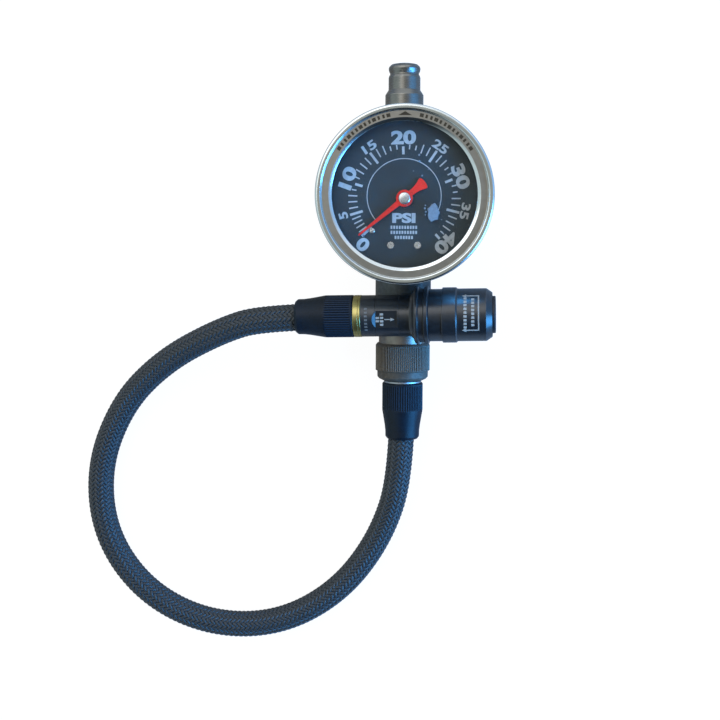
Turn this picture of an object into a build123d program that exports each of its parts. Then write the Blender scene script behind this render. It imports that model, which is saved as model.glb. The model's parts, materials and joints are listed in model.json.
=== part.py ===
from build123d import *
from math import asin, atan2, cos, degrees, pi, radians, sin, sqrt, tan
import os

# Tyre deflator: a back-entry pressure gauge on a turned air column, a sliding vent collar,
# a hose in a loop and a push-on valve chuck that lies across the column.
# Millimetres. +Y runs up the column and out of the inlet plug, +Z out of the dial.
# The origin is on the column's axis, at the middle of the inlet plug's coupling barrel.

# Clearances
FIT = 0.05  # radial gap of pieces that are screwed or pressed together
RUN = 0.08  # radial gap of pieces that slide or turn
REST_GAP = 0.15  # gap under a piece that lies on another

# Inlet plug
plug_barrel_radius = 6.55
plug_barrel_length = 6.0
plug_lead_length = 1.0  # chamfer at the barrel's upper end
plug_rim_radius = 6.55
plug_rim_length = 4.1
plug_groove_radius = 5.95
plug_groove_width = 0.6
plug_shoulder_radius = 7.87
plug_shoulder_length = 9.0
plug_taper_length = 2.0
plug_spigot_radius = 6.0
plug_spigot_length = 9.0
plug_bore_radius = 3.2
plug_seat_radius = 2.2
plug_face_radius = 3.4  # flat end inside the rounded rim
plug_rim_widest = 1.3  # height of the rim's widest place over the groove
plug_seat_depth = 1.6
plug_seat_lip = 0.7

# Inlet check valve
poppet_head_radius = 2.7
poppet_head_length = 2.2
poppet_stem_radius = 1.0
poppet_stem_length = 9.0
poppet_travel = 1.6
poppet_edge = 0.6
poppet_spare = 1.0  # length of stem left in the guide when the poppet is pushed in
guide_thickness = 2.0
guide_hole_radius = 0.6
spring_wire_radius = 0.3
poppet_spring_turns = 5

# Air column
column_radius = 11.6
column_chamfer = 1.2
air_bore_radius = 3.0
boss_radius = 11.0
boss_height = 2.2
boss_edge = 0.8
waist_radius = 10.7
waist_length = 2.4

# Vent stem, collar and seals
stem_radius = 10.1
stem_show = 8.4
stem_big_length = 14.0
stem_neck_radius = 7.0
stem_spigot_radius = 8.0
stem_spigot_length = 7.0
vent_hole_radius = 1.0
vent_hole_count = 6
seal_wire = 1.6
seal_setback = 2.2  # from a seal's middle to the end of its seat
collar_radius = 11.4
collar_length = 15.7
collar_chamfer = 1.2
collar_band_radius = 10.65
collar_band_length = 2.9
collar_foot_radius = 7.9
collar_foot_length = 1.5
collar_travel = 5.0
knurl_count = 84
knurl_groove_radius = 0.26
retainer_radius = 7.85
retainer_thickness = 0.85

# Hose, ferrules and boots
hose_radius = 5.5
ferrule_wall = 1.1
ferrule_length = 17.0
boot_mouth_radius = 7.2
boot_rib_radius = 8.55
boot_rib_length = 10.7
boot_flare_length = 8.0
boot_length = 24.0
boot_rib_count = 52
boot_rib_depth = 0.28
boot_collar_length = 1.1
nipple_length = 3.4
hose_fit = 0.5  # how much smaller a fitting's end is than the hose
boot_edge = 0.8
rib_groove_share = 0.45

# Gauge case, bezel and window
case_radius = 31.75
gauge_offset = case_radius + 1.25  # from the column's upper end to the gauge's axis
case_wall = 1.0
case_depth = 23.0
case_corner = 3.0
case_back = 16.0  # height of the case's back over the column's axis
bezel_wall = 2.45
bezel_radius = case_radius + bezel_wall
bezel_side_height = 8.0
bezel_cover = 4.0  # how far the bezel's lip reaches in over the window, from the case's side
bezel_window_radius = case_radius - bezel_cover
bezel_lip_width = 1.15
bezel_band_radius = bezel_window_radius + bezel_lip_width
bezel_rim_width = 2.3
bezel_rim_radius = bezel_radius - bezel_rim_width
bezel_band_height = 1.5
bezel_rim_height = 2.7
window_thickness = 1.8
window_inset = 0.65
window_radius = case_radius - window_inset
gasket_width = 2.6
gasket_thickness = 1.2
connection_radius = 6.5
connection_nut_flats = 19.0
fill_plug_radius = 4.0
fill_plug_stem_radius = 2.6
fill_plug_head = 1.4

# Dial and pointer
dial_gap = 0.45
dial_radius = case_radius - case_wall - dial_gap
dial_thickness = 0.8
dial_drop = 4.2  # from the window's inner face to the dial's face
hub_drop = 1.25  # the pointer's axis lies this far below the case's centre
dial_screw_spread = 5.2
dial_screw_drop = 19.25
dial_screw_head = 1.05
post_radius = 1.7
pointer_lift = 1.2
pointer_thickness = 0.6
pointer_length = 22.9
pointer_tail = 10.1
pointer_tail_width = 4.6
pointer_root_width = 2.5
pointer_tip_width = 0.7
pointer_disc_radius = 2.9
pointer_zero = 218.8  # direction of the pointer at zero, in degrees from +X
pointer_cap_radius = 1.95
pointer_cap_height = 1.4
arbor_radius = 0.7
stop_pin_radius = 0.45
stop_pin_reach = 17.3

# Movement
gear_module = 0.4
pinion_teeth = 10
sector_ratio = 8
sector_swing = 33.4
sector_thickness = 1.2
sector_spare_teeth = 2
sector_bore_radius = 1.0
sector_hub_radius = 2.4
tail_pin_spare = 0.2  # how far the tail's pin stands out of the link
sector_window_start = 4.0  # inner radius of the opening in the sector
sector_rim_width = 2.0
sector_spoke_angle = 9.0
tooth_share = 0.38  # tooth thickness over the tooth pitch at the pitch circle
sector_heading = 215.0  # direction from the pointer's axis to the sector's axis
tail_reach = 4.5
tail_heading = 165.0
link_length = 8.0
link_width = 2.0
link_thickness = 0.8
plate_thickness = 1.2
plate_width = 12.0
plate_gap = 6.4
pillar_radius = 1.2
pillar_reach = 4.7
tube_radius = 24.0
tube_thickness = 2.4
tube_height = 9.0
tube_root = -30.0
tube_tip = 185.0
link_aim_reach = tube_radius - 1.0  # the place on the tube's tip that the link points at
link_aim_rise = 1.0
socket_block_side = 14.0
movement_stack = 14.8  # from the socket block's top to the case's rim
sector_rise = 3.8  # from the socket block's top to the sector
socket_block_height = case_depth - case_wall - movement_stack
sector_floor = case_wall + socket_block_height + sector_rise
socket_arm_width = 5.0

# Chuck
chuck_offset = 4.43  # from the column's lower end up to the chuck's axis
chuck_tilt = 5.6  # the nose is raised
chuck_turn = 1.3  # the nose is turned up the column
barrel_radius = 8.38
barrel_start = 16.7
barrel_seams = (-10.9, -1.45)  # stations of the two shallow seams round the barrel
seam_width = 0.25
seam_depth = 0.15
flat_start = -10.4  # stations of the milled flat
flat_end = -1.8
flat_depth = 0.75
flat_ramp = 1.6
flat_heading = 97.6  # direction of the flat round the chuck, from its side, in degrees
barrel_length = 19.8
shoulder_length = 2.4
flange_radius = 11.65
flange_length = 5.1
flange_ring_width = 0.75
flange_ring_slope = 0.35
flange_ring_depth = 0.7
band_radius = 10.5
band_length = 6.0
band_edge = 0.3
inner_barrel_radius = 8.6
inner_barrel_length = 17.25
inner_barrel_step = 1.6  # the barrel's socket is this much smaller than the inner barrel
sleeve_ridge_radius = 11.1
sleeve_ridge_length = 6.0
sleeve_radius = 10.55
sleeve_skirt_wall = 1.0  # solid left between the skirt's bore and the ridge's end
sleeve_pocket_length = 6.45
sleeve_pocket_wall = 0.85
release_groove_width = 2.8
release_groove_depth = 0.95
sleeve_length = 19.85
sleeve_gap = 5.3
sleeve_travel = 3.5
sleeve_front_chamfer = 2.35
sleeve_front_drop = 1.65
nose_radius = 7.45
nose_length = 3.2
nose_base_length = 1.5
nose_base_inset = 0.15
nose_edge = 0.5
valve_bore_radius = 4.1
valve_bore_length = 11.0
washer_seat_radius = 4.5
washer_thickness = 2.4
core_pin_radius = 0.8
core_pin_reach = 1.0  # how far the pin stands out of the washer
ball_radius = 2.2
ball_count = 4
ball_setback = 8.8  # from the nose's front face to the balls
sleeve_spring_turns = 5
sleeve_spring_wire = 0.4
brass_ring_radius = 8.5
brass_ring_length = 3.05
ring_edge = 0.25
brass_spigot_radius = 5.4
brass_spigot_length = 8.0

# The column reaches from its upper end past the gauge to the chuck's seat
gauge_chuck_gap = 1.72  # between the bezel's edge and the chuck's flange, along the column
column_length = gauge_offset + bezel_radius + gauge_chuck_gap + flange_radius + chuck_offset

# The hose's route, from the lower ferrule to the chuck's ferrule: chosen by hand
HOSE_LIE = -(column_radius - hose_radius)
HOSE_ROUTE = [
    (0.0, -163.0, 0.0),
    (-9.0, -193.0, -5.9),
    (-27.3, -217.5, HOSE_LIE),
    (-54.0, -232.2, HOSE_LIE),
    (-84.6, -232.4, HOSE_LIE),
    (-111.8, -218.7, HOSE_LIE),
    (-129.2, -193.7, HOSE_LIE),
    (-131.9, -163.3, HOSE_LIE),
    (-120.6, -134.9, -5.6),
    (-100.8, -115.5, 1.5),
    (-76.3, -102.2, 10.4),
]
HOSE_LAST_REACH = 13.5  # the last corner's distance from the chuck boot's mouth
ROUND_OFF = 0.45  # share of the shorter run that a corner's arc takes

os.makedirs("parts", exist_ok=True)
finished = []


def finish(piece, name):
    """Label a finished piece and write it as its own STEP file."""
    piece.part.label = name
    export_step(piece.part, f"parts/{name}.step")
    finished.append(name)


def outline(plane, points):
    """A closed outline of straight edges on a plane."""
    with BuildSketch(plane) as profile:
        with BuildLine():
            Polyline(*points, close=True)
        make_face()
    return profile.sketch


# Stations along the column, from the plug's tip down
barrel_half = plug_barrel_length / 2
groove_top = barrel_half + plug_groove_width
plug_tip = groove_top + plug_rim_length
shoulder_top = -barrel_half - plug_taper_length
column_top = shoulder_top - plug_shoulder_length
column_foot = column_top - column_length
collar_top = column_foot - stem_show
collar_foot = collar_top - collar_length
retainer_top = collar_foot - REST_GAP
boot_top = retainer_top - retainer_thickness
boot_mouth = boot_top - boot_length
gauge_y = column_top - gauge_offset

# Each turned piece on the column is a profile of radius and Y, revolved about Y
column_plane = Plane.XY
column_axis = Axis.Y
gauge_plane = Plane.XZ.offset(-gauge_y)
gauge_axis = Axis((0, gauge_y, 0), (0, 0, 1))

# Inlet plug with its coupling barrel, rim and spigot
widest = groove_top + plug_rim_widest
face_to_rim = plug_rim_radius - plug_face_radius
with BuildPart() as inlet_plug:
    with BuildSketch(column_plane):
        with BuildLine():
            ThreePointArc(
                (plug_face_radius, plug_tip),
                (
                    plug_face_radius + face_to_rim * sin(radians(45)),
                    widest + (plug_tip - widest) * sin(radians(45)),
                ),
                (plug_rim_radius, widest),
            )
            ThreePointArc(
                (plug_rim_radius, widest),
                (plug_rim_radius - 0.13, groove_top + 0.45 * plug_rim_widest),
                (plug_groove_radius, groove_top),
            )
            Polyline(
                (plug_groove_radius, groove_top),
                (plug_groove_radius, barrel_half),
                (plug_groove_radius + 0.3, barrel_half),
                (plug_barrel_radius, barrel_half - plug_lead_length),
                (plug_barrel_radius, -barrel_half),
                (plug_shoulder_radius, shoulder_top),
                (plug_shoulder_radius, column_top),
                (plug_spigot_radius, column_top),
                (plug_spigot_radius, column_top - plug_spigot_length),
                (plug_bore_radius, column_top - plug_spigot_length),
                (plug_bore_radius, plug_tip - plug_seat_depth),
                (plug_seat_radius, plug_tip - plug_seat_lip),
                (plug_seat_radius, plug_tip),
                (plug_face_radius, plug_tip),
            )
        make_face()
    revolve(axis=column_axis)
finish(inlet_plug, "inlet_plug")

# Check valve poppet: its head lies under the plug's seat, and air pushes it inwards
poppet_top = plug_tip - plug_seat_depth - 3 * RUN
with BuildPart() as inlet_poppet:
    revolve(
        outline(
            column_plane,
            [
                (0, poppet_top),
                (poppet_head_radius - poppet_edge, poppet_top),
                (poppet_head_radius, poppet_top - poppet_edge),
                (poppet_head_radius, poppet_top - poppet_head_length),
                (poppet_stem_radius, poppet_top - poppet_head_length),
                (poppet_stem_radius, poppet_top - poppet_head_length - poppet_stem_length),
                (0, poppet_top - poppet_head_length - poppet_stem_length),
            ],
        ),
        axis=column_axis,
    )
finish(inlet_poppet, "inlet_poppet")

# Spider that guides the poppet's stem and carries its spring
guide_top = poppet_top - poppet_head_length - poppet_stem_length + poppet_travel + poppet_spare
with BuildPart() as poppet_guide:
    with BuildSketch(Plane.XZ.offset(-guide_top)):
        Circle(plug_bore_radius - FIT)
        Circle(poppet_stem_radius + RUN, mode=Mode.SUBTRACT)
        with PolarLocations((plug_bore_radius + poppet_stem_radius) / 2 + 0.1, 4):
            Circle(guide_hole_radius, mode=Mode.SUBTRACT)
    extrude(amount=guide_thickness)
finish(poppet_guide, "poppet_guide")

spring_top = poppet_top - poppet_head_length - spring_wire_radius - FIT
spring_foot = guide_top + spring_wire_radius + FIT
poppet_spring_radius = (poppet_stem_radius + plug_bore_radius) / 2
with BuildPart() as poppet_spring:
    with BuildLine() as poppet_coil:
        Helix(
            pitch=(spring_top - spring_foot) / poppet_spring_turns,
            height=spring_top - spring_foot,
            radius=poppet_spring_radius,
            center=(0, spring_foot, 0),
            direction=(0, 1, 0),
        )
    with BuildSketch(poppet_coil.line ^ 0):
        Circle(spring_wire_radius)
    sweep()
finish(poppet_spring, "poppet_spring")

# Air column with the boss under the gauge
boss_top = column_radius + boss_height
with BuildPart() as air_column:
    revolve(
        outline(
            column_plane,
            [
                (0, column_top),
                (column_radius - column_chamfer, column_top),
                (column_radius, column_top - column_chamfer),
                (column_radius, column_foot + waist_length),
                (waist_radius, column_foot + waist_length - (column_radius - waist_radius)),
                (waist_radius, column_foot),
                (0, column_foot),
            ],
        ),
        axis=column_axis,
    )
    with BuildSketch(Plane((0, gauge_y, 0))):
        Circle(boss_radius)
    extrude(amount=boss_top)
    chamfer(faces().sort_by(Axis.Z)[-1].edges(), boss_edge)
    with BuildSketch(Plane.XZ.offset(-column_top)):
        Circle(plug_spigot_radius + FIT)
    extrude(amount=plug_spigot_length + FIT, mode=Mode.SUBTRACT)
    with BuildSketch(Plane.XZ.offset(-column_top)):
        Circle(air_bore_radius)
    extrude(amount=column_length, mode=Mode.SUBTRACT)
    with BuildSketch(Plane.XZ.offset(-column_foot - stem_spigot_length - FIT)):
        Circle(stem_spigot_radius + FIT)
    extrude(amount=stem_spigot_length + FIT, mode=Mode.SUBTRACT)
    with BuildSketch(Plane((0, gauge_y, boss_top))):
        Circle(connection_radius + FIT)
    extrude(amount=-(boss_top - air_bore_radius - 1.5), mode=Mode.SUBTRACT)
    with BuildSketch(Plane((0, gauge_y, boss_top))):
        Circle(air_bore_radius - 0.5)
    extrude(amount=-boss_top, mode=Mode.SUBTRACT)
finish(air_column, "air_column")

# Vent stem: the collar slides on it and covers its ring of vent holes
stem_step = column_foot - stem_big_length
upper_seal_y = stem_step + seal_setback
lower_seal_y = collar_foot + seal_setback
vent_y = stem_step - seal_setback
groove_width = seal_wire + 0.3
upper_groove_radius = stem_radius + RUN - seal_wire
lower_groove_radius = stem_neck_radius + RUN - seal_wire
with BuildPart() as vent_stem:
    revolve(
        outline(
            column_plane,
            [
                (air_bore_radius, column_foot + stem_spigot_length),
                (stem_spigot_radius, column_foot + stem_spigot_length),
                (stem_spigot_radius, column_foot),
                (stem_radius - 0.4, column_foot),
                (stem_radius, column_foot - 0.4),
                (stem_radius, upper_seal_y + groove_width / 2),
                (upper_groove_radius, upper_seal_y + groove_width / 2),
                (upper_groove_radius, upper_seal_y - groove_width / 2),
                (stem_radius, upper_seal_y - groove_width / 2),
                (stem_radius, stem_step),
                (stem_neck_radius, stem_step),
                (stem_neck_radius, lower_seal_y + groove_width / 2),
                (lower_groove_radius, lower_seal_y + groove_width / 2),
                (lower_groove_radius, lower_seal_y - groove_width / 2),
                (stem_neck_radius, lower_seal_y - groove_width / 2),
                (stem_neck_radius, retainer_top),
                (air_bore_radius, retainer_top),
            ],
        ),
        axis=column_axis,
    )
    for index in range(vent_hole_count):
        turn = index * 360 / vent_hole_count
        spoke = Plane((0, vent_y, 0), z_dir=(cos(radians(turn)), 0, sin(radians(turn))))
        with BuildSketch(spoke.offset(air_bore_radius - 1)):
            Circle(vent_hole_radius)
        extrude(amount=stem_neck_radius - air_bore_radius + 2, mode=Mode.SUBTRACT)
finish(vent_stem, "vent_stem")


def seal_ring(plane_section, axis, groove_radius, middle, outer_radius):
    """An O-ring in a groove, flattened where it touches the bore that it seals."""
    wire = (outer_radius - groove_radius) / 2
    with BuildSketch(plane_section) as section:
        with Locations((groove_radius + wire, middle)):
            Circle(wire)
    return revolve(section.sketch, axis=axis, mode=Mode.PRIVATE)


with BuildPart() as upper_seal:
    add(seal_ring(column_plane, column_axis, upper_groove_radius, upper_seal_y, stem_radius + 0.2 * RUN))
finish(upper_seal, "upper_collar_seal")

with BuildPart() as lower_seal:
    add(seal_ring(column_plane, column_axis, lower_groove_radius, lower_seal_y, stem_neck_radius + 0.2 * RUN))
finish(lower_seal, "lower_collar_seal")

# Knurled vent collar with a plain lower band
collar_bore = stem_radius + RUN
collar_foot_bore = stem_neck_radius + RUN
collar_step = stem_step - collar_travel - 0.8
knurl_top = collar_top - collar_chamfer
knurl_foot = collar_foot + collar_foot_length + collar_band_length
with BuildPart() as vent_collar:
    revolve(
        outline(
            column_plane,
            [
                (collar_bore, collar_top),
                (collar_radius - 0.7, collar_top),
                (collar_radius, knurl_top),
                (collar_radius, knurl_foot + 0.3),
                (collar_band_radius, knurl_foot - 0.3),
                (collar_band_radius, collar_foot + collar_foot_length),
                (collar_band_radius - 0.7, collar_foot + 0.5 * collar_foot_length),
                (collar_foot_radius + 0.6, collar_foot),
                (collar_foot_bore, collar_foot),
                (collar_foot_bore, collar_step),
                (collar_bore, collar_step),
            ],
        ),
        axis=column_axis,
    )
    with BuildSketch(Plane.XZ.offset(-knurl_top - 1)):
        with PolarLocations(collar_radius + 0.5 * knurl_groove_radius, knurl_count):
            Rectangle(2 * knurl_groove_radius, 2 * knurl_groove_radius, rotation=45)
    extrude(amount=knurl_top + 1 - knurl_foot, mode=Mode.SUBTRACT)
finish(vent_collar, "vent_collar")

# Retainer that keeps the collar on, and the nipple under it
with BuildPart() as collar_retainer:
    revolve(
        outline(
            column_plane,
            [
                (air_bore_radius, retainer_top),
                (retainer_radius - 0.2, retainer_top),
                (retainer_radius, retainer_top - 0.2),
                (retainer_radius, boot_top),
                (hose_radius - hose_fit, boot_top),
                (hose_radius - hose_fit, boot_top - nipple_length),
                (air_bore_radius, boot_top - nipple_length),
            ],
        ),
        axis=column_axis,
    )
finish(collar_retainer, "collar_retainer")

# Chuck frame: X along the chuck towards the nose
flange_start = barrel_length - barrel_start + shoulder_length
lowest_x = flange_start * cos(radians(chuck_tilt)) + flange_radius * sin(radians(chuck_tilt))
chuck_height = (
    sqrt(column_radius**2 - lowest_x**2)
    + flange_radius * cos(radians(chuck_tilt))
    - flange_start * sin(radians(chuck_tilt))
    + REST_GAP
)
chuck_y = column_foot + chuck_offset
chuck_direction = Vector(
    cos(radians(chuck_tilt)) * cos(radians(chuck_turn)),
    cos(radians(chuck_tilt)) * sin(radians(chuck_turn)),
    sin(radians(chuck_tilt)),
)
chuck_side = Vector(-sin(radians(chuck_turn)), cos(radians(chuck_turn)), 0)
chuck_origin = Vector(0, chuck_y, chuck_height)
chuck_plane = Plane(chuck_origin, x_dir=chuck_direction, z_dir=chuck_direction.cross(chuck_side))
chuck_axis = Axis(chuck_origin, chuck_direction)


def chuck_station(reach):
    """A plane across the chuck at a distance along it, facing the nose."""
    return Plane(chuck_origin + chuck_direction * reach, x_dir=chuck_side, z_dir=chuck_direction)


# Stations along the chuck, from the boot's mouth to the nose
brass_start = -barrel_start - brass_ring_length
chuck_boot_mouth = brass_start - boot_length
barrel_end = -barrel_start + barrel_length
flange_end = flange_start + flange_length
band_end = flange_end + band_length
sleeve_start = flange_end + sleeve_gap
sleeve_end = sleeve_start + sleeve_length
inner_end = band_end + inner_barrel_length
nose_end = inner_end + nose_length
ball_station = nose_end - ball_setback
washer_seat_end = nose_end - valve_bore_length
valve_floor = washer_seat_end - 0.1 - core_pin_reach - washer_thickness


def boot_profile(top, way, bore_radius):
    """A boot's section of radius and station: way is +1 or -1, from its ribbed end to its mouth."""
    rib_end = top + way * (boot_collar_length + boot_rib_length)
    flare_end = rib_end + way * boot_flare_length
    mouth = top + way * boot_length
    step = top + way * ferrule_length
    return [
        (bore_radius + ferrule_wall + FIT, top),
        (boot_rib_radius - 0.3, top),
        (boot_rib_radius, top + way * 0.4),
        (boot_rib_radius, rib_end),
        (boot_mouth_radius + 0.25, flare_end),
        (boot_mouth_radius, flare_end + way * boot_edge),
        (boot_mouth_radius, mouth - way * boot_edge),
        (boot_mouth_radius - boot_edge, mouth),
        (bore_radius + FIT, mouth),
        (bore_radius + FIT, step),
        (bore_radius + ferrule_wall + FIT, step),
    ]


def boot_grooves(base, way):
    """The lengthwise grooves between a boot's ribs, cut from the boot in progress."""
    groove = 2 * pi * boot_rib_radius / boot_rib_count * rib_groove_share
    with BuildSketch(base) as teeth:
        with PolarLocations(boot_rib_radius, boot_rib_count):
            Rectangle(2 * boot_rib_depth, groove)
    return extrude(teeth.sketch, amount=way * boot_rib_length, mode=Mode.PRIVATE)


# Lower boot and ferrule, on the column's axis
with BuildPart() as lower_boot:
    revolve(outline(column_plane, boot_profile(boot_top, -1, hose_radius)), axis=column_axis)
    add(
        boot_grooves(Plane.XZ.offset(-boot_top + boot_collar_length), 1),
        mode=Mode.SUBTRACT,
    )
finish(lower_boot, "lower_boot")

with BuildPart() as lower_ferrule:
    revolve(
        outline(
            column_plane,
            [
                (hose_radius - 0.4, boot_top - FIT),
                (hose_radius + ferrule_wall, boot_top - FIT),
                (hose_radius + ferrule_wall, boot_top - ferrule_length + 0.1),
                (hose_radius + FIT, boot_top - ferrule_length + 0.1),
                (hose_radius + FIT, boot_top - nipple_length),
                (hose_radius - 0.4, boot_top - nipple_length),
            ],
        ),
        axis=column_axis,
    )
finish(lower_ferrule, "lower_ferrule")


def along_chuck(points):
    """Swap a profile of radius and station to station and radius."""
    return [(station, radius) for radius, station in points]


# Chuck boot and ferrule
with BuildPart() as chuck_boot:
    revolve(
        outline(chuck_plane, along_chuck(boot_profile(brass_start, -1, hose_radius))),
        axis=chuck_axis,
    )
    add(
        boot_grooves(chuck_station(brass_start - boot_collar_length), -1),
        mode=Mode.SUBTRACT,
    )
finish(chuck_boot, "chuck_boot")

with BuildPart() as chuck_ferrule:
    revolve(
        outline(
            chuck_plane,
            [
                (brass_start - FIT, hose_radius - 0.4),
                (brass_start - FIT, hose_radius + ferrule_wall),
                (brass_start - ferrule_length + 0.1, hose_radius + ferrule_wall),
                (brass_start - ferrule_length + 0.1, hose_radius + FIT),
                (brass_start - nipple_length, hose_radius + FIT),
                (brass_start - nipple_length, hose_radius - 0.4),
            ],
        ),
        axis=chuck_axis,
    )
finish(chuck_ferrule, "chuck_ferrule")

# Brass hose fitting: its collar shows between the boot and the barrel
with BuildPart() as brass_fitting:
    revolve(
        outline(
            chuck_plane,
            [
                (brass_start - nipple_length, air_bore_radius),
                (brass_start - nipple_length, hose_radius - hose_fit),
                (brass_start, hose_radius - hose_fit),
                (brass_start, brass_ring_radius - ring_edge),
                (brass_start + ring_edge, brass_ring_radius),
                (-barrel_start - ring_edge, brass_ring_radius),
                (-barrel_start, brass_ring_radius - ring_edge),
                (-barrel_start, brass_spigot_radius),
                (-barrel_start + brass_spigot_length, brass_spigot_radius),
                (-barrel_start + brass_spigot_length, air_bore_radius),
            ],
        ),
        axis=chuck_axis,
    )
finish(brass_fitting, "brass_fitting")

# Chuck barrel: plain barrel, conical shoulder and a grip flange with two raised rings
groove_floor = flange_radius - flange_ring_depth
flange_rise = flange_radius - barrel_radius
last_ring = flange_end - flange_ring_slope - flange_ring_width
socket_radius = inner_barrel_radius - inner_barrel_step
flat_height = barrel_radius - flat_depth
flat_out = chuck_side * cos(radians(flat_heading)) + chuck_plane.z_dir * sin(radians(flat_heading))
flat_plane = Plane(chuck_origin, x_dir=chuck_direction, z_dir=chuck_direction.cross(flat_out))
seam_points = []
for seam in barrel_seams:
    seam_points += [
        (seam, barrel_radius),
        (seam + 0.2 * seam_width, barrel_radius - seam_depth),
        (seam + 0.8 * seam_width, barrel_radius - seam_depth),
        (seam + seam_width, barrel_radius),
    ]
with BuildPart() as chuck_barrel:
    revolve(
        outline(
            chuck_plane,
            [
                (-barrel_start, brass_spigot_radius + FIT),
                (-barrel_start, barrel_radius),
                *seam_points,
                (barrel_end, barrel_radius),
                (barrel_end + 0.4 * shoulder_length, barrel_radius + 0.25 * flange_rise),
                (flange_start, flange_radius),
                (flange_start + flange_ring_width, flange_radius),
                (flange_start + flange_ring_width + flange_ring_slope, groove_floor),
                (last_ring - flange_ring_slope, groove_floor),
                (last_ring, flange_radius),
                (last_ring + flange_ring_width, flange_radius),
                (flange_end, band_radius + 0.2),
                (flange_end, socket_radius + FIT),
                (barrel_end, socket_radius + FIT),
                (barrel_end, air_bore_radius),
                (-barrel_start + brass_spigot_length + FIT, air_bore_radius),
                (-barrel_start + brass_spigot_length + FIT, brass_spigot_radius + FIT),
            ],
        ),
        axis=chuck_axis,
    )
    extrude(
        outline(
            flat_plane,
            [
                (flat_start - 2 * flat_ramp, barrel_radius + flat_depth),
                (flat_start, flat_height),
                (flat_end, flat_height),
                (flat_end, barrel_radius + flat_depth),
            ],
        ),
        amount=barrel_radius,
        both=True,
        mode=Mode.SUBTRACT,
    )
finish(chuck_barrel, "chuck_barrel")

# Chuck housing: a plain band, and an inner barrel that holds the balls
with BuildPart() as chuck_housing:
    revolve(
        outline(
            chuck_plane,
            [
                (barrel_end + FIT, air_bore_radius),
                (barrel_end + FIT, socket_radius),
                (flange_end, socket_radius),
                (flange_end, band_radius),
                (band_end - band_edge, band_radius),
                (band_end, band_radius - band_edge),
                (band_end, inner_barrel_radius),
                (inner_end, inner_barrel_radius),
                (inner_end, valve_bore_radius),
                (washer_seat_end, valve_bore_radius),
                (washer_seat_end, washer_seat_radius),
                (valve_floor, washer_seat_radius),
                (valve_floor, air_bore_radius),
            ],
        ),
        axis=chuck_axis,
    )
    for index in range(ball_count):
        turn = radians(45 + index * 360 / ball_count)
        out = chuck_side * cos(turn) + chuck_plane.z_dir * sin(turn)
        pocket = Plane(chuck_origin + chuck_direction * ball_station, z_dir=out)
        with BuildSketch(pocket.offset(valve_bore_radius - 1)):
            Circle(ball_radius + RUN)
        extrude(amount=inner_barrel_radius, mode=Mode.SUBTRACT)
finish(chuck_housing, "chuck_housing")

# Steel balls that grip the valve's thread
ball_reach = inner_barrel_radius - ball_radius
with BuildPart() as grip_balls:
    for index in range(ball_count):
        turn = radians(45 + index * 360 / ball_count)
        out = chuck_side * cos(turn) + chuck_plane.z_dir * sin(turn)
        with Locations(chuck_origin + chuck_direction * ball_station + out * ball_reach):
            Sphere(ball_radius)
finish(grip_balls, "grip_balls")

# Release sleeve: its skirt runs over the plain band when it is pulled back
sleeve_bore = inner_barrel_radius + RUN
skirt_bore = band_radius + RUN
skirt_end = sleeve_start + sleeve_ridge_length - sleeve_skirt_wall
pocket_bore = sleeve_radius - sleeve_pocket_wall
spring_seat = skirt_end + sleeve_pocket_length
release_start = ball_station + sleeve_travel - release_groove_width / 2
with BuildPart() as release_sleeve:
    revolve(
        outline(
            chuck_plane,
            [
                (sleeve_start, skirt_bore),
                (sleeve_start, sleeve_ridge_radius - 0.25),
                (sleeve_start + 0.4, sleeve_ridge_radius),
                (sleeve_start + sleeve_ridge_length - 0.5, sleeve_ridge_radius),
                (sleeve_start + sleeve_ridge_length, sleeve_radius),
                (sleeve_end - sleeve_front_chamfer, sleeve_radius),
                (sleeve_end, sleeve_radius - sleeve_front_drop),
                (sleeve_end, sleeve_bore),
                (release_start + release_groove_width, sleeve_bore),
                (release_start + release_groove_width, sleeve_bore + release_groove_depth),
                (release_start, sleeve_bore + release_groove_depth),
                (release_start, sleeve_bore),
                (spring_seat, sleeve_bore),
                (spring_seat, pocket_bore),
                (skirt_end, pocket_bore),
                (skirt_end, skirt_bore),
            ],
        ),
        axis=chuck_axis,
    )
finish(release_sleeve, "release_sleeve")

# Return spring between the band and the sleeve's inner step
coil_start = band_end + sleeve_spring_wire + FIT
coil_end = spring_seat - sleeve_spring_wire - FIT
coil_radius = (inner_barrel_radius + pocket_bore) / 2
with BuildPart() as sleeve_spring:
    with BuildLine() as sleeve_coil:
        Helix(
            pitch=(coil_end - coil_start) / sleeve_spring_turns,
            height=coil_end - coil_start,
            radius=coil_radius,
            center=chuck_origin + chuck_direction * coil_start,
            direction=chuck_direction,
        )
    with BuildSketch(sleeve_coil.line ^ 0):
        Circle(sleeve_spring_wire)
    sweep()
finish(sleeve_spring, "sleeve_spring")

# Rubber nose that the valve goes in through
with BuildPart() as nose_seal:
    revolve(
        outline(
            chuck_plane,
            [
                (inner_end, valve_bore_radius),
                (inner_end, inner_barrel_radius - nose_base_inset),
                (inner_end + nose_base_length, inner_barrel_radius - nose_base_inset),
                (inner_end + nose_base_length, nose_radius),
                (nose_end - nose_edge, nose_radius),
                (nose_end, nose_radius - nose_edge),
                (nose_end, valve_bore_radius),
            ],
        ),
        axis=chuck_axis,
    )
finish(nose_seal, "nose_seal")

# Washer that seals the valve's mouth, and the pin that opens its core
with BuildPart() as valve_washer:
    with BuildSketch(chuck_station(valve_floor)):
        Circle(washer_seat_radius - FIT)
        Circle(2 * core_pin_radius, mode=Mode.SUBTRACT)
    extrude(amount=washer_thickness)
finish(valve_washer, "valve_washer")

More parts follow.
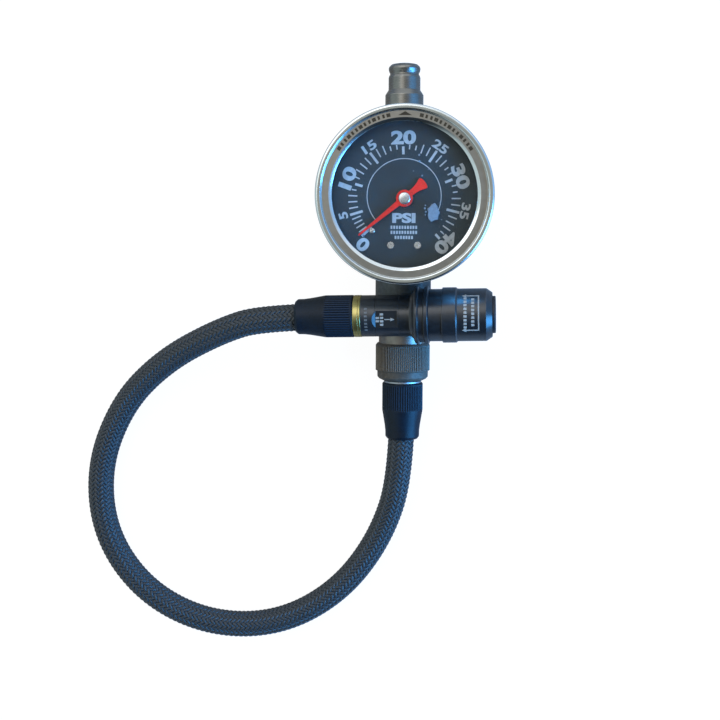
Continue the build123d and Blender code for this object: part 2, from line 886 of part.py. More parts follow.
spider_thickness = 1.5
with BuildPart() as core_pin:
    with BuildSketch(chuck_station(valve_floor - spider_thickness)):
        Circle(air_bore_radius - FIT)
        with PolarLocations(0.6 * air_bore_radius, 3):
            Circle(0.7, mode=Mode.SUBTRACT)
    extrude(amount=spider_thickness)
    with BuildSketch(chuck_station(valve_floor)):
        Circle(core_pin_radius)
    extrude(amount=washer_thickness + core_pin_reach)
finish(core_pin, "core_pin")

# Gauge case: a drawn cup, open at the front, with the connection's hole and the fill hole
case_rim = case_back + case_depth
fill_height = case_back + 0.45 * case_depth
with BuildPart() as gauge_case:
    with BuildSketch(Plane((0, gauge_y, case_back))):
        Circle(case_radius)
    extrude(amount=case_depth)
    fillet(edges().sort_by(Axis.Z)[0], case_corner)
    with BuildSketch(Plane((0, gauge_y, case_back + case_wall))):
        Circle(case_radius - case_wall)
    extrude(amount=case_depth, mode=Mode.SUBTRACT)
    with BuildSketch(Plane((0, gauge_y, case_back))):
        Circle(connection_radius + FIT)
    extrude(amount=case_wall, mode=Mode.SUBTRACT)
    with BuildSketch(Plane((0, gauge_y, fill_height), x_dir=(1, 0, 0), z_dir=(0, 1, 0))):
        Circle(fill_plug_stem_radius + FIT)
    extrude(amount=case_radius + 1, mode=Mode.SUBTRACT)
finish(gauge_case, "gauge_case")

# Rubber plug of the fill hole, at the top of the case
with BuildPart() as fill_plug:
    fill_base = Plane((0, gauge_y, fill_height), x_dir=(1, 0, 0), z_dir=(0, 1, 0))
    with BuildSketch(fill_base.offset(case_radius - case_wall - 0.6)):
        Circle(fill_plug_stem_radius)
    extrude(amount=case_wall + 0.6 + FIT)
    with BuildSketch(fill_base.offset(case_radius + FIT)):
        Circle(fill_plug_radius)
    extrude(amount=fill_plug_head, taper=20)
finish(fill_plug, "fill_plug")

# Gasket, window and bezel, stacked on the case's rim
gasket_top = case_rim + gasket_thickness
window_top = gasket_top + window_thickness
with BuildPart() as window_gasket:
    with BuildSketch(Plane((0, gauge_y, case_rim))):
        Circle(case_radius)
        Circle(case_radius - gasket_width, mode=Mode.SUBTRACT)
    extrude(amount=gasket_thickness)
finish(window_gasket, "window_gasket")

with BuildPart() as gauge_window:
    with BuildSketch(Plane((0, gauge_y, gasket_top))):
        Circle(window_radius)
    extrude(amount=window_thickness)
    fillet(edges().group_by(Axis.Z)[-1], 0.3)
finish(gauge_window, "gauge_window")

bezel_foot = window_top - bezel_side_height
bezel_bore = case_radius + FIT
band_top = window_top + bezel_band_height
rim_top = window_top + bezel_rim_height
rim_middle = (bezel_rim_radius + bezel_radius) / 2
with BuildPart() as gauge_bezel:
    with BuildSketch(gauge_plane):
        with BuildLine():
            Polyline(
                (bezel_rim_radius, band_top),
                (bezel_band_radius, band_top),
                (bezel_window_radius + 0.3, window_top + 0.7),
                (bezel_window_radius, window_top),
                (bezel_bore, window_top),
                (bezel_bore, bezel_foot),
                (bezel_radius - 0.5, bezel_foot),
                (bezel_radius, bezel_foot + 0.5),
                (bezel_radius, window_top + 0.9),
            )
            ThreePointArc(
                (bezel_radius, window_top + 0.9),
                (rim_middle + 0.55, rim_top - 0.25),
                (rim_middle - 0.1, rim_top),
            )
            ThreePointArc(
                (rim_middle - 0.1, rim_top),
                (bezel_rim_radius + 0.3, rim_top - 0.5),
                (bezel_rim_radius, band_top),
            )
        make_face()
    revolve(axis=gauge_axis)
finish(gauge_bezel, "gauge_bezel")

# Socket: connection, block, the arm to the tube's root, and the locknut behind the case
case_floor = case_back + case_wall
block_top = case_floor + socket_block_height
tube_middle = block_top + 0.5 + tube_height / 2
root_plane = Plane(
    (0, gauge_y, case_floor + FIT),
    x_dir=(cos(radians(tube_root)), sin(radians(tube_root)), 0),
    z_dir=(0, 0, 1),
)
with BuildPart() as gauge_socket:
    with BuildSketch(Plane((0, gauge_y, boss_top - connection_radius))):
        Circle(connection_radius)
    extrude(amount=case_floor + FIT - boss_top + connection_radius)
    with BuildSketch(Plane((0, gauge_y, case_floor + FIT))):
        RectangleRounded(socket_block_side, socket_block_side, 1.5)
    extrude(amount=socket_block_height - FIT)
    with BuildSketch(root_plane):
        with Locations((tube_radius / 2 + 1, -socket_arm_width / 2)):
            Rectangle(tube_radius + 2, socket_arm_width)
    extrude(amount=socket_block_height - FIT)
    with BuildSketch(root_plane.offset(socket_block_height - FIT)):
        with Locations((tube_radius, -socket_arm_width / 2)):
            Rectangle(tube_thickness + 2, socket_arm_width)
    extrude(amount=tube_middle + tube_height / 2 - block_top)
    with BuildSketch(Plane((0, gauge_y, boss_top - connection_radius))):
        Circle(air_bore_radius - 0.5)
    extrude(amount=block_top - boss_top, mode=Mode.SUBTRACT)
finish(gauge_socket, "gauge_socket")

with BuildPart() as connection_nut:
    with BuildSketch(Plane((0, gauge_y, boss_top))):
        RegularPolygon(connection_nut_flats / 2, 6, major_radius=False)
        Circle(connection_radius + FIT, mode=Mode.SUBTRACT)
    extrude(amount=case_back - boss_top)
finish(connection_nut, "connection_nut")

# Curved tube that straightens under pressure, and the block on its tip
with BuildPart() as bourdon_tube:
    with BuildSketch(
        Plane(
            (0, gauge_y, tube_middle),
            x_dir=(cos(radians(tube_root)), sin(radians(tube_root)), 0),
            z_dir=(sin(radians(tube_root)), -cos(radians(tube_root)), 0),
        )
    ):
        with Locations((tube_radius, 0)):
            Ellipse(tube_thickness / 2, tube_height / 2)
            Ellipse(tube_thickness / 2 - 0.4, tube_height / 2 - 0.6, mode=Mode.SUBTRACT)
    revolve(axis=gauge_axis, revolution_arc=tube_tip - tube_root)
finish(bourdon_tube, "bourdon_tube")

sector_bottom = case_back + sector_floor
sector_top = sector_bottom + sector_thickness
tip_plane = Plane(
    (0, gauge_y, tube_middle - tube_height / 2),
    x_dir=(cos(radians(tube_tip)), sin(radians(tube_tip)), 0),
    z_dir=(0, 0, 1),
)
tip_block_length = 3.0
with BuildPart() as tube_tip_block:
    with BuildSketch(tip_plane):
        with Locations((tube_radius - 0.7, tip_block_length / 2)):
            Rectangle(tube_thickness + 1.6, tip_block_length)
    extrude(amount=sector_top - (tube_middle - tube_height / 2))
finish(tube_tip_block, "tube_tip_block")

# Movement frame: two plates on pillars, over the socket block
hub = Vector(0, gauge_y - hub_drop, 0)
gear_distance = gear_module * pinion_teeth * (1 + sector_ratio) / 2
sector_axis_at = hub + Vector(cos(radians(sector_heading)), sin(radians(sector_heading)), 0) * gear_distance
sector_spin = Axis(tuple(sector_axis_at), (0, 0, 1))
frame_turn = sector_heading - 180
front_plate_bottom = block_top + plate_thickness + plate_gap
front_pillar = hub + Vector(cos(radians(frame_turn)), sin(radians(frame_turn)), 0) * pillar_reach
back_pillar = sector_axis_at + Vector(
    cos(radians(sector_heading + 35)), sin(radians(sector_heading + 35)), 0
) * pillar_reach


def plate_sketch(level):
    """One movement plate, with the bearing holes of the arbor and the sector's shaft."""
    middle = (hub + sector_axis_at) / 2
    with BuildSketch(Plane((0, 0, level))) as plate:
        with Locations(Location((middle.X, middle.Y, 0), (0, 0, frame_turn))):
            SlotCenterToCenter(gear_distance + 2, plate_width)
        with Locations((hub.X, hub.Y)):
            Circle(arbor_radius + RUN, mode=Mode.SUBTRACT)
        with Locations((sector_axis_at.X, sector_axis_at.Y)):
            Circle(arbor_radius + RUN, mode=Mode.SUBTRACT)
    return plate.sketch


with BuildPart() as movement_frame:
    extrude(plate_sketch(block_top), amount=plate_thickness)
    extrude(plate_sketch(front_plate_bottom), amount=plate_thickness)
    with BuildSketch(Plane((0, 0, block_top + plate_thickness))):
        with Locations((front_pillar.X, front_pillar.Y), (back_pillar.X, back_pillar.Y)):
            Circle(pillar_radius)
    extrude(amount=plate_gap)
finish(movement_frame, "movement_frame")


def tooth(pitch_radius, heading, centre):
    """One straight-sided gear tooth, pointing away from its gear's centre."""
    half = tooth_share * pi * gear_module / 2
    direction = Vector(cos(radians(heading)), sin(radians(heading)), 0)
    across = Vector(-direction.Y, direction.X, 0)
    stations = [
        (pitch_radius - 1.6 * gear_module, 1.15 * half),
        (pitch_radius, half),
        (pitch_radius + 0.75 * gear_module, 0.5 * half),
    ]
    left = [centre + direction * r + across * w for r, w in stations]
    right = [centre + direction * r - across * w for r, w in reversed(stations)]
    return [(p.X, p.Y) for p in left + right]


# Sector gear: hub, window, toothed rim and tail, on its own shaft
sector_pitch = gear_module * pinion_teeth * sector_ratio / 2
tooth_step = 360 / (pinion_teeth * sector_ratio)
first_tooth = -int(sector_swing / tooth_step) - sector_spare_teeth
sector_headings = [
    frame_turn + index * tooth_step for index in range(first_tooth, sector_spare_teeth + 1)
]
rim_start = sector_headings[0] - tooth_step / 2
rim_sweep = sector_headings[-1] + tooth_step / 2 - rim_start
rim_root = sector_pitch - 1.2 * gear_module
tail_pin = sector_axis_at + Vector(cos(radians(tail_heading)), sin(radians(tail_heading)), 0) * tail_reach
tail_pin_radius = 0.5


def ring_piece(centre, inner, outer, start, sweep_angle):
    """A stretch of a flat ring, between two radii and two directions."""

    def point(radius, heading):
        return (centre.X + radius * cos(radians(heading)), centre.Y + radius * sin(radians(heading)))

    end = start + sweep_angle
    mid = start + sweep_angle / 2
    with BuildSketch(Plane((0, 0, sector_bottom))) as piece:
        with BuildLine():
            ThreePointArc(point(outer, start), point(outer, mid), point(outer, end))
            Line(point(outer, end), point(inner, end))
            ThreePointArc(point(inner, end), point(inner, mid), point(inner, start))
            Line(point(inner, start), point(outer, start))
        make_face()
    return piece.sketch


with BuildPart() as sector_gear:
    with BuildSketch(Plane((0, 0, sector_bottom))):
        sector_disc = ring_piece(sector_axis_at, sector_bore_radius, rim_root, rim_start, rim_sweep)
        add(sector_disc.moved(Location((0, 0, -sector_bottom))))
        with Locations((sector_axis_at.X, sector_axis_at.Y)):
            Circle(sector_hub_radius)
        with BuildLine():
            Polyline(
                *[
                    (sector_axis_at.X + x * cos(radians(tail_heading)) - y * sin(radians(tail_heading)),
                     sector_axis_at.Y + x * sin(radians(tail_heading)) + y * cos(radians(tail_heading)))
                    for x, y in [(0, -1), (tail_reach + 1, -1), (tail_reach + 1, 1), (0, 1)]
                ],
                close=True,
            )
        make_face()
        for heading in sector_headings:
            with BuildLine():
                Polyline(*tooth(sector_pitch, heading, sector_axis_at), close=True)
            make_face()
    extrude(amount=sector_thickness)
    extrude(
        ring_piece(
            sector_axis_at,
            sector_window_start,
            rim_root - sector_rim_width,
            rim_start + sector_spoke_angle,
            rim_sweep - 2 * sector_spoke_angle,
        ),
        amount=sector_thickness,
        mode=Mode.SUBTRACT,
    )
    with BuildSketch(Plane((0, 0, block_top + FIT))):
        with Locations((sector_axis_at.X, sector_axis_at.Y)):
            Circle(arbor_radius)
    extrude(amount=2 * plate_thickness + plate_gap - 2 * FIT)
    with BuildSketch(Plane((0, 0, sector_top))):
        with Locations((tail_pin.X, tail_pin.Y)):
            Circle(tail_pin_radius)
    extrude(amount=REST_GAP + link_thickness + tail_pin_spare)
finish(sector_gear, "sector_gear")

# Link from the sector's tail towards the tube's tip
link_heading = degrees(
    atan2(
        gauge_y + link_aim_reach * sin(radians(tube_tip)) + link_aim_rise - tail_pin.Y,
        link_aim_reach * cos(radians(tube_tip)) - tail_pin.X,
    )
)
link_bottom = sector_top + REST_GAP
with BuildPart() as link_bar:
    with BuildSketch(
        Plane(
            (tail_pin.X, tail_pin.Y, link_bottom),
            x_dir=(cos(radians(link_heading)), sin(radians(link_heading)), 0),
            z_dir=(0, 0, 1),
        )
    ):
        with Locations((link_length / 2, 0)):
            SlotCenterToCenter(link_length, link_width)
        Circle(tail_pin_radius + RUN, mode=Mode.SUBTRACT)
        with Locations((link_length, 0)):
            Circle(tail_pin_radius, mode=Mode.SUBTRACT)
    extrude(amount=link_thickness)
finish(link_bar, "link_bar")

# Dial with its screws and the posts behind it
dial_face = gasket_top - dial_drop
dial_back = dial_face - dial_thickness
screw_spots = [
    (side * dial_screw_spread, gauge_y - dial_screw_drop) for side in (-1, 1)
]
with BuildPart() as gauge_dial:
    with BuildSketch(Plane((0, 0, dial_back))):
        with Locations((0, gauge_y)):
            Circle(dial_radius)
        with Locations((hub.X, hub.Y)):
            Circle(1.6, mode=Mode.SUBTRACT)
        with Locations(*screw_spots):
            Circle(0.9, mode=Mode.SUBTRACT)
    extrude(amount=dial_thickness)
finish(gauge_dial, "gauge_dial")

with BuildPart() as dial_posts:
    with BuildSketch(Plane((0, 0, case_floor))):
        with Locations(*screw_spots):
            Circle(post_radius)
    extrude(amount=dial_back - case_floor)
    with BuildSketch(Plane((0, 0, dial_back))):
        with Locations(*screw_spots):
            Circle(0.8 + FIT)
    extrude(amount=-3.0, mode=Mode.SUBTRACT)
finish(dial_posts, "dial_posts")

with BuildPart() as dial_screws:
    with BuildSketch(Plane((0, 0, dial_face))):
        with Locations(*screw_spots):
            Circle(dial_screw_head)
    extrude(amount=0.7)
    with BuildSketch(Plane((0, 0, dial_face + 0.7))):
        with Locations(*screw_spots):
            Rectangle(2.2 * dial_screw_head, 0.35)
    extrude(amount=-0.35, mode=Mode.SUBTRACT)
    with BuildSketch(Plane((0, 0, dial_face))):
        with Locations(*screw_spots):
            Circle(0.8)
    extrude(amount=-2.6)
finish(dial_screws, "dial_screws")

# Pointer with a fan-shaped tail, on the arbor that carries the pinion
pointer_level = dial_face + pointer_lift
pointer_top = pointer_level + pointer_thickness
pointer_plane = Plane(
    (hub.X, hub.Y, pointer_level),
    x_dir=(cos(radians(pointer_zero)), sin(radians(pointer_zero)), 0),
    z_dir=(0, 0, 1),
)
with BuildPart() as pointer:
    with BuildSketch(pointer_plane):
        with BuildLine():
            Polyline(
                (pointer_length - 0.5, pointer_tip_width / 2),
                (0, pointer_root_width / 2),
                (-0.55 * pointer_tail, 0.3 * pointer_tail_width),
                (-0.95 * pointer_tail, pointer_tail_width / 2),
                (-pointer_tail, 0),
                (-0.95 * pointer_tail, -pointer_tail_width / 2),
                (-0.55 * pointer_tail, -0.3 * pointer_tail_width),
                (0, -pointer_root_width / 2),
                (pointer_length - 0.5, -pointer_tip_width / 2),
                (pointer_length, 0),
                close=True,
            )
        make_face()
        Circle(pointer_disc_radius)
        Circle(arbor_radius + FIT, mode=Mode.SUBTRACT)
    extrude(amount=pointer_thickness)
finish(pointer, "pointer")

with BuildPart() as pointer_cap:
    with BuildSketch(Plane((hub.X, hub.Y, pointer_top))):
        Circle(pointer_cap_radius)
    extrude(amount=pointer_cap_height)
    fillet(edges().group_by(Axis.Z)[-1], 0.8 * pointer_cap_height)
finish(pointer_cap, "pointer_cap")

pinion_pitch = gear_module * pinion_teeth / 2
pinion_step = 360 / pinion_teeth
with BuildPart() as pointer_arbor:
    with BuildSketch(Plane((hub.X, hub.Y, block_top + FIT))):
        Circle(arbor_radius)
    extrude(amount=pointer_top - block_top - FIT)
    with BuildSketch(Plane((0, 0, sector_bottom - 0.6))):
        with Locations((hub.X, hub.Y)):
            Circle(pinion_pitch - 1.2 * gear_module)
        for index in range(pinion_teeth):
            with BuildLine():
                Polyline(
                    *tooth(pinion_pitch, sector_heading + (index + 0.5) * pinion_step, hub),
                    close=True,
                )
            make_face()
    extrude(amount=sector_thickness + 1.2)
finish(pointer_arbor, "pointer_arbor")

# Stop pin that the pointer rests against at zero
stop_offset = pointer_root_width / 2 + (pointer_tip_width - pointer_root_width) / 2 * (
    stop_pin_reach / (pointer_length - 0.5)
)
stop_heading = pointer_zero + degrees(asin((stop_offset + stop_pin_radius + RUN) / stop_pin_reach))
with BuildPart() as stop_pin:
    with BuildSketch(
        Plane(
            (
                hub.X + stop_pin_reach * cos(radians(stop_heading)),
                hub.Y + stop_pin_reach * sin(radians(stop_heading)),
                dial_face,
            )
        )
    ):
        Circle(stop_pin_radius)
    extrude(amount=pointer_lift + pointer_thickness + 0.5)
finish(stop_pin, "stop_pin")

# Hose: straight runs joined by tangent arcs
boot_mouth_at = chuck_origin + chuck_direction * chuck_boot_mouth
last_corner = boot_mouth_at - chuck_direction * HOSE_LAST_REACH
hose_start = Vector(0, boot_top - nipple_length, 0)
hose_end = chuck_origin + chuck_direction * (brass_start - nipple_length)
route = [hose_start] + [Vector(*point) for point in HOSE_ROUTE] + [last_corner, hose_end]
runs = [after - before for before, after in zip(route, route[1:])]
hose_radii = []
hose_length = sum(run.length for run in runs)
for before, after in zip(runs, runs[1:]):
    half_turn = radians(before.get_angle(after)) / 2
    radius = ROUND_OFF * min(before.length, after.length) / tan(half_turn)
    hose_radii.append(radius)
    hose_length -= 2 * radius * (tan(half_turn) - half_turn)

with BuildPart() as air_hose:
    with BuildLine() as hose_path:
        FilletPolyline(*route, radius=hose_radii)
    with BuildSketch(hose_path.line ^ 0):
        Circle(hose_radius)
    sweep()
finish(air_hose, "air_hose")

print("hose bend radii, mm:", [round(radius, 1) for radius in hose_radii])
print("hose runs, mm:", [round(run.length, 1) for run in runs])
print(f"hose length {hose_length:.1f} mm")
hose_share = air_hose.part.volume / (pi * hose_radius**2 * hose_length)
print(f"hose volume over section times length: {hose_share:.5f}")
print("chuck: origin", [round(v, 4) for v in chuck_origin])
print("chuck: direction", [round(v, 6) for v in chuck_direction])
print("nose end", [round(v, 4) for v in chuck_origin + chuck_direction * nose_end])
print("hub", [round(v, 4) for v in hub], "sector axis", [round(v, 4) for v in sector_axis_at])
print("tail pin", [round(v, 4) for v in tail_pin])
print("boot mouth y", round(boot_mouth, 3), "chuck boot mouth", [round(v, 3) for v in boot_mouth_at])
print(len(finished), "nodes")
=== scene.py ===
"""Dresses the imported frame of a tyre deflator: its gauge, air column, hose, valve chuck, stage and camera.

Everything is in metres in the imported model's frame: +Y out of the inlet plug and +Z out of the dial.
"""

import json
import math

import bmesh
import bpy
import numpy as np
from bpy.props import FloatProperty, FloatVectorProperty, IntProperty, PointerProperty
from mathutils import Matrix, Vector


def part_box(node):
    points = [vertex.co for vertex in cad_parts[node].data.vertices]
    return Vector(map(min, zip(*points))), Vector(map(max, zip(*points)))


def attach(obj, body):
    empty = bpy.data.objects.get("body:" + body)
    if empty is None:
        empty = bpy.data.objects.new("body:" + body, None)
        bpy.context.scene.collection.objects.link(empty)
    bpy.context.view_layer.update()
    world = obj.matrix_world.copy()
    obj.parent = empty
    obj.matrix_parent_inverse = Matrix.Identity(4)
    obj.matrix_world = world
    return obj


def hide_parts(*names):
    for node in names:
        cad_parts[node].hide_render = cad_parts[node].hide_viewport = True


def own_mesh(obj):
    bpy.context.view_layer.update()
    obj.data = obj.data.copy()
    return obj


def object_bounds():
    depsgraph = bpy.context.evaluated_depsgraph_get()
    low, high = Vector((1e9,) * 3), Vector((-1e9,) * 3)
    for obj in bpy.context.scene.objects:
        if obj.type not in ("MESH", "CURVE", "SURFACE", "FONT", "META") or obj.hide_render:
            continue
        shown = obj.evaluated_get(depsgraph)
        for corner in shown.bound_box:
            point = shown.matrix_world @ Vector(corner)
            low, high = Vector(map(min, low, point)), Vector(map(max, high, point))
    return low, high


bl_info = {
    "name": "Tyre Deflator",
    "version": (1, 0, 0),
    "blender": (4, 5, 0),
    "location": "3D View > Sidebar > Deflator",
    "description": "Finished pieces of a tyre deflator with a dial gauge",
    "category": "Object",
}

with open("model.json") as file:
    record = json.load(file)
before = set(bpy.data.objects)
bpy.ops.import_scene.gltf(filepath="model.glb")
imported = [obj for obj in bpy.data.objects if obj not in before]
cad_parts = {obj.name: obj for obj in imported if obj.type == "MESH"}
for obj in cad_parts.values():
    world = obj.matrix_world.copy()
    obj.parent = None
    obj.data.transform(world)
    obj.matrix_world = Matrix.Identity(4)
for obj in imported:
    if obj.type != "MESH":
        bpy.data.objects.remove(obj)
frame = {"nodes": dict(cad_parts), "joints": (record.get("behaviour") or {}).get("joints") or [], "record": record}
CAD_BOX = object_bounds()
MM = 0.001

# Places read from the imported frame
DIAL_LOW, DIAL_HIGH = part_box("gauge_dial")
GAUGE_Y = (DIAL_LOW.y + DIAL_HIGH.y) / 2
DIAL_FACE = DIAL_HIGH.z
VALVE_BORE = next(m for m in frame["record"]["mounts"] if m["name"] == "valve_bore")
POINTER_JOINT = next(j for j in frame["joints"] if j["name"] == "pointer_turn")
HUB = Vector(POINTER_JOINT["pos_m"][:2] + [0.0])
VALVE_BORE_STATION = 31.55 * MM


def local_frame(origin, along, across):
    """The row frame's matrix for a local frame whose z runs along a piece and whose x points across it."""
    z = Vector(along).normalized()
    x = (Vector(across) - Vector(across).dot(z) * z).normalized()
    place = Matrix((x, z.cross(x), z)).transposed().to_4x4()
    place.translation = Vector(origin)
    return place


COLUMN = local_frame((0, 0, 0), (0, 1, 0), (1, 0, 0))
GAUGE = local_frame((0, GAUGE_Y, 0), (0, 0, 1), (1, 0, 0))
CHUCK_AXIS = Vector(VALVE_BORE["axis"])
CHUCK_SIDE = Vector((0, 0, 1)).cross(CHUCK_AXIS)
CHUCK = local_frame(
    Vector(VALVE_BORE["pos_m"]) - CHUCK_AXIS * VALVE_BORE_STATION, CHUCK_AXIS, CHUCK_SIDE
)

# The hose's route, with the points of the tube's own route
HOSE_ROUTE = [
    (0.0, -0.1275, 0.0),
    (0.0, -0.163, 0.0),
    (-0.009, -0.193, -0.0059),
    (-0.0273, -0.2175, -0.0061),
    (-0.054, -0.2322, -0.0061),
    (-0.0846, -0.2324, -0.0061),
    (-0.1118, -0.2187, -0.0061),
    (-0.1292, -0.1937, -0.0061),
    (-0.1319, -0.1633, -0.0061),
    (-0.1206, -0.1349, -0.0056),
    (-0.1008, -0.1155, 0.0015),
    (-0.0763, -0.1022, 0.0104),
    (-0.0569621, -0.0958626, 0.0151531),
    (-0.0230336, -0.0950927, 0.0184807),
]


class GaugeSettings(bpy.types.PropertyGroup):
    """Sizes and colours of the gauge."""

    bezel_radius: FloatProperty(
        name="Bezel radius", description="Outer radius of the bezel", default=0.0342, unit="LENGTH"
    )
    lip_radius: FloatProperty(
        name="Lip radius", description="Radius of the bezel's opening", default=0.02775, unit="LENGTH"
    )
    numeral_height: FloatProperty(
        name="Numeral height", description="Height of the large numerals", default=0.0053, unit="LENGTH"
    )
    print_colour: FloatVectorProperty(
        name="Print", description="Colour of the dial's print", default=(0.4, 0.42, 0.41), subtype="COLOR"
    )
    dial_colour: FloatVectorProperty(
        name="Dial", description="Colour of the dial", default=(0.004, 0.018, 0.024), subtype="COLOR"
    )
    pointer_colour: FloatVectorProperty(
        name="Pointer", description="Colour of the pointer", default=(0.85, 0.006, 0.0), subtype="COLOR"
    )


class ManifoldSettings(bpy.types.PropertyGroup):
    """Sizes and colours of the air column and its collar."""

    knurl_count: IntProperty(name="Knurls", description="Ridges round the vent collar", default=84)
    knurl_depth: FloatProperty(
        name="Knurl depth", description="Depth of the collar's grooves", default=0.00042, unit="LENGTH"
    )
    column_colour: FloatVectorProperty(
        name="Column", description="Colour of the air column", default=(0.072, 0.081, 0.081), subtype="COLOR"
    )


class HoseSettings(bpy.types.PropertyGroup):
    """Sizes and colours of the hose and its boots."""

    diameter: FloatProperty(
        name="Diameter", description="Outer diameter of the hose", default=0.011, unit="LENGTH"
    )
    strands: IntProperty(name="Strands", description="Strands that wind each way", default=18)
    pitch: FloatProperty(
        name="Pitch", description="Length of one turn of a strand", default=0.036, unit="LENGTH"
    )
    rib_count: IntProperty(name="Ribs", description="Ribs round a boot", default=52)
    braid_colour: FloatVectorProperty(
        name="Braid", description="Colour of the braid", default=(0.012, 0.016, 0.019), subtype="COLOR"
    )
    boot_colour: FloatVectorProperty(
        name="Boot", description="Colour of the boots", default=(0.002, 0.007, 0.014), subtype="COLOR"
    )


class ChuckSettings(bpy.types.PropertyGroup):
    """Sizes and colours of the valve chuck."""

    barrel_radius: FloatProperty(
        name="Barrel radius", description="Radius of the chuck's barrel", default=0.00838, unit="LENGTH"
    )
    body_colour: FloatVectorProperty(
        name="Body", description="Colour of the chuck", default=(0.012, 0.014, 0.017), subtype="COLOR"
    )
    brass_colour: FloatVectorProperty(
        name="Brass", description="Colour of the brass ring", default=(0.5, 0.42, 0.16), subtype="COLOR"
    )


def settings(name):
    """One of the scene's groups of settings."""
    return getattr(bpy.context.scene, "deflator_" + name)


# Node helpers


def add(tree, kind, inputs=None, **values):
    """Adds a node with its settings; each input is a value or the socket that feeds it."""
    made = tree.nodes.new(kind)
    for key, value in values.items():
        setattr(made, key, value)
    for socket, value in (inputs or {}).items():
        feed(tree, made.inputs[socket], value)
    return made


def feed(tree, socket, value):
    """Links a socket to its source, or gives it a value."""
    if isinstance(value, bpy.types.NodeSocket):
        tree.links.new(value, socket)
    else:
        socket.default_value = value


def calc(tree, operation, *values, clamp=False):
    """One step of arithmetic."""
    made = add(tree, "ShaderNodeMath", operation=operation, use_clamp=clamp)
    for socket, value in zip(made.inputs, values):
        feed(tree, socket, value)
    return made.outputs[0]


def times(tree, first, second, clamp=False):
    """The product of two values."""
    return calc(tree, "MULTIPLY", first, second, clamp=clamp)


def plus(tree, first, second):
    """The sum of two values."""
    return calc(tree, "ADD", first, second)


def minus(tree, first, second):
    """The first value less the second."""
    return calc(tree, "SUBTRACT", first, second)


def vector_step(tree, operation, inputs):
    """One step of vector arithmetic."""
    made = add(tree, "ShaderNodeVectorMath", inputs, operation=operation)
    return made.outputs["Value" if operation == "LENGTH" else "Vector"]


def combined(tree, x=0.0, y=0.0, z=0.0):
    """A vector from its three parts."""
    return add(tree, "ShaderNodeCombineXYZ", {"X": x, "Y": y, "Z": z}).outputs[0]


def parts_of(tree, vector):
    """The three parts of a vector."""
    return add(tree, "ShaderNodeSeparateXYZ", {0: vector}).outputs


def noise(tree, place, scale, detail):
    """Soft noise round a half."""
    return add(tree, "ShaderNodeTexNoise", {"Vector": place, "Scale": scale, "Detail": detail}).outputs[0]


def ramp(tree, value, low, high):
    """A value that rises smoothly from 0 at low to 1 at high."""
    inputs = {"Value": value, "From Min": low, "From Max": high}
    return add(tree, "ShaderNodeMapRange", inputs, interpolation_type="SMOOTHSTEP").outputs["Result"]


def blend_colours(tree, share, first, second):
    """A colour between two, by share."""
    made = add(tree, "ShaderNodeMix", {"Factor": share}, data_type="RGBA")
    for socket, value in ((made.inputs[6], first), (made.inputs[7], second)):
        feed(tree, socket, colour4(value))
    return made.outputs[2]


def colour4(value):
    """A colour with its alpha, or the socket itself."""
    return value if isinstance(value, bpy.types.NodeSocket) else (*tuple(value)[:3], 1.0)


def new_tree(name, kind, inputs, outputs):
    """A node group with its sockets: name, type and default of each."""
    tree = bpy.data.node_groups.new(name, kind)
    for side, rows in (("INPUT", inputs), ("OUTPUT", outputs)):
        for title, socket, *default in rows:
            made = tree.interface.new_socket(title, in_out=side, socket_type=socket)
            if default:
                made.default_value = default[0]
    return tree, add(tree, "NodeGroupInput").outputs, add(tree, "NodeGroupOutput").inputs


# Shared effects


def grain_group():
    """Fine mottle between a dark and a light colour, with a height and broad patches."""
    tree, given, out = new_tree(
        "Fine Grain",
        "ShaderNodeTree",
        [
            ("Place", "NodeSocketVector"),
            ("Scale", "NodeSocketFloat", 900.0),
            ("Dark", "NodeSocketColor"),
            ("Light", "NodeSocketColor"),
        ],
        [("Color", "NodeSocketColor"), ("Height", "NodeSocketFloat"), ("Patch", "NodeSocketFloat")],
    )
    fine = noise(tree, given["Place"], given["Scale"], 3.0)
    broad = noise(tree, given["Place"], times(tree, given["Scale"], 0.07), 2.0)
    both = plus(tree, times(tree, fine, 0.5), times(tree, broad, 0.5))
    mixed = blend_colours(tree, ramp(tree, both, 0.35, 0.65), given["Dark"], given["Light"])
    feed(tree, out["Color"], mixed)
    feed(tree, out["Height"], fine)
    feed(tree, out["Patch"], broad)
    return tree


def turning_group():
    """Marks of turning: fine rings along a piece's own axis, with streaks round it."""
    tree, given, out = new_tree(
        "Turning Marks",
        "ShaderNodeTree",
        [("Place", "NodeSocketVector"), ("Fineness", "NodeSocketFloat", 9000.0)],
        [("Height", "NodeSocketFloat"), ("Streak", "NodeSocketFloat")],
    )
    x, y, z = parts_of(tree, given["Place"])
    radius = calc(tree, "SQRT", plus(tree, times(tree, x, x), times(tree, y, y)))
    squeezed = combined(tree, times(tree, x, 0.02), times(tree, y, 0.02), plus(tree, z, radius))
    feed(tree, out["Height"], noise(tree, squeezed, given["Fineness"], 2.0))
    feed(tree, out["Streak"], noise(tree, squeezed, times(tree, given["Fineness"], 0.12), 1.0))
    return tree


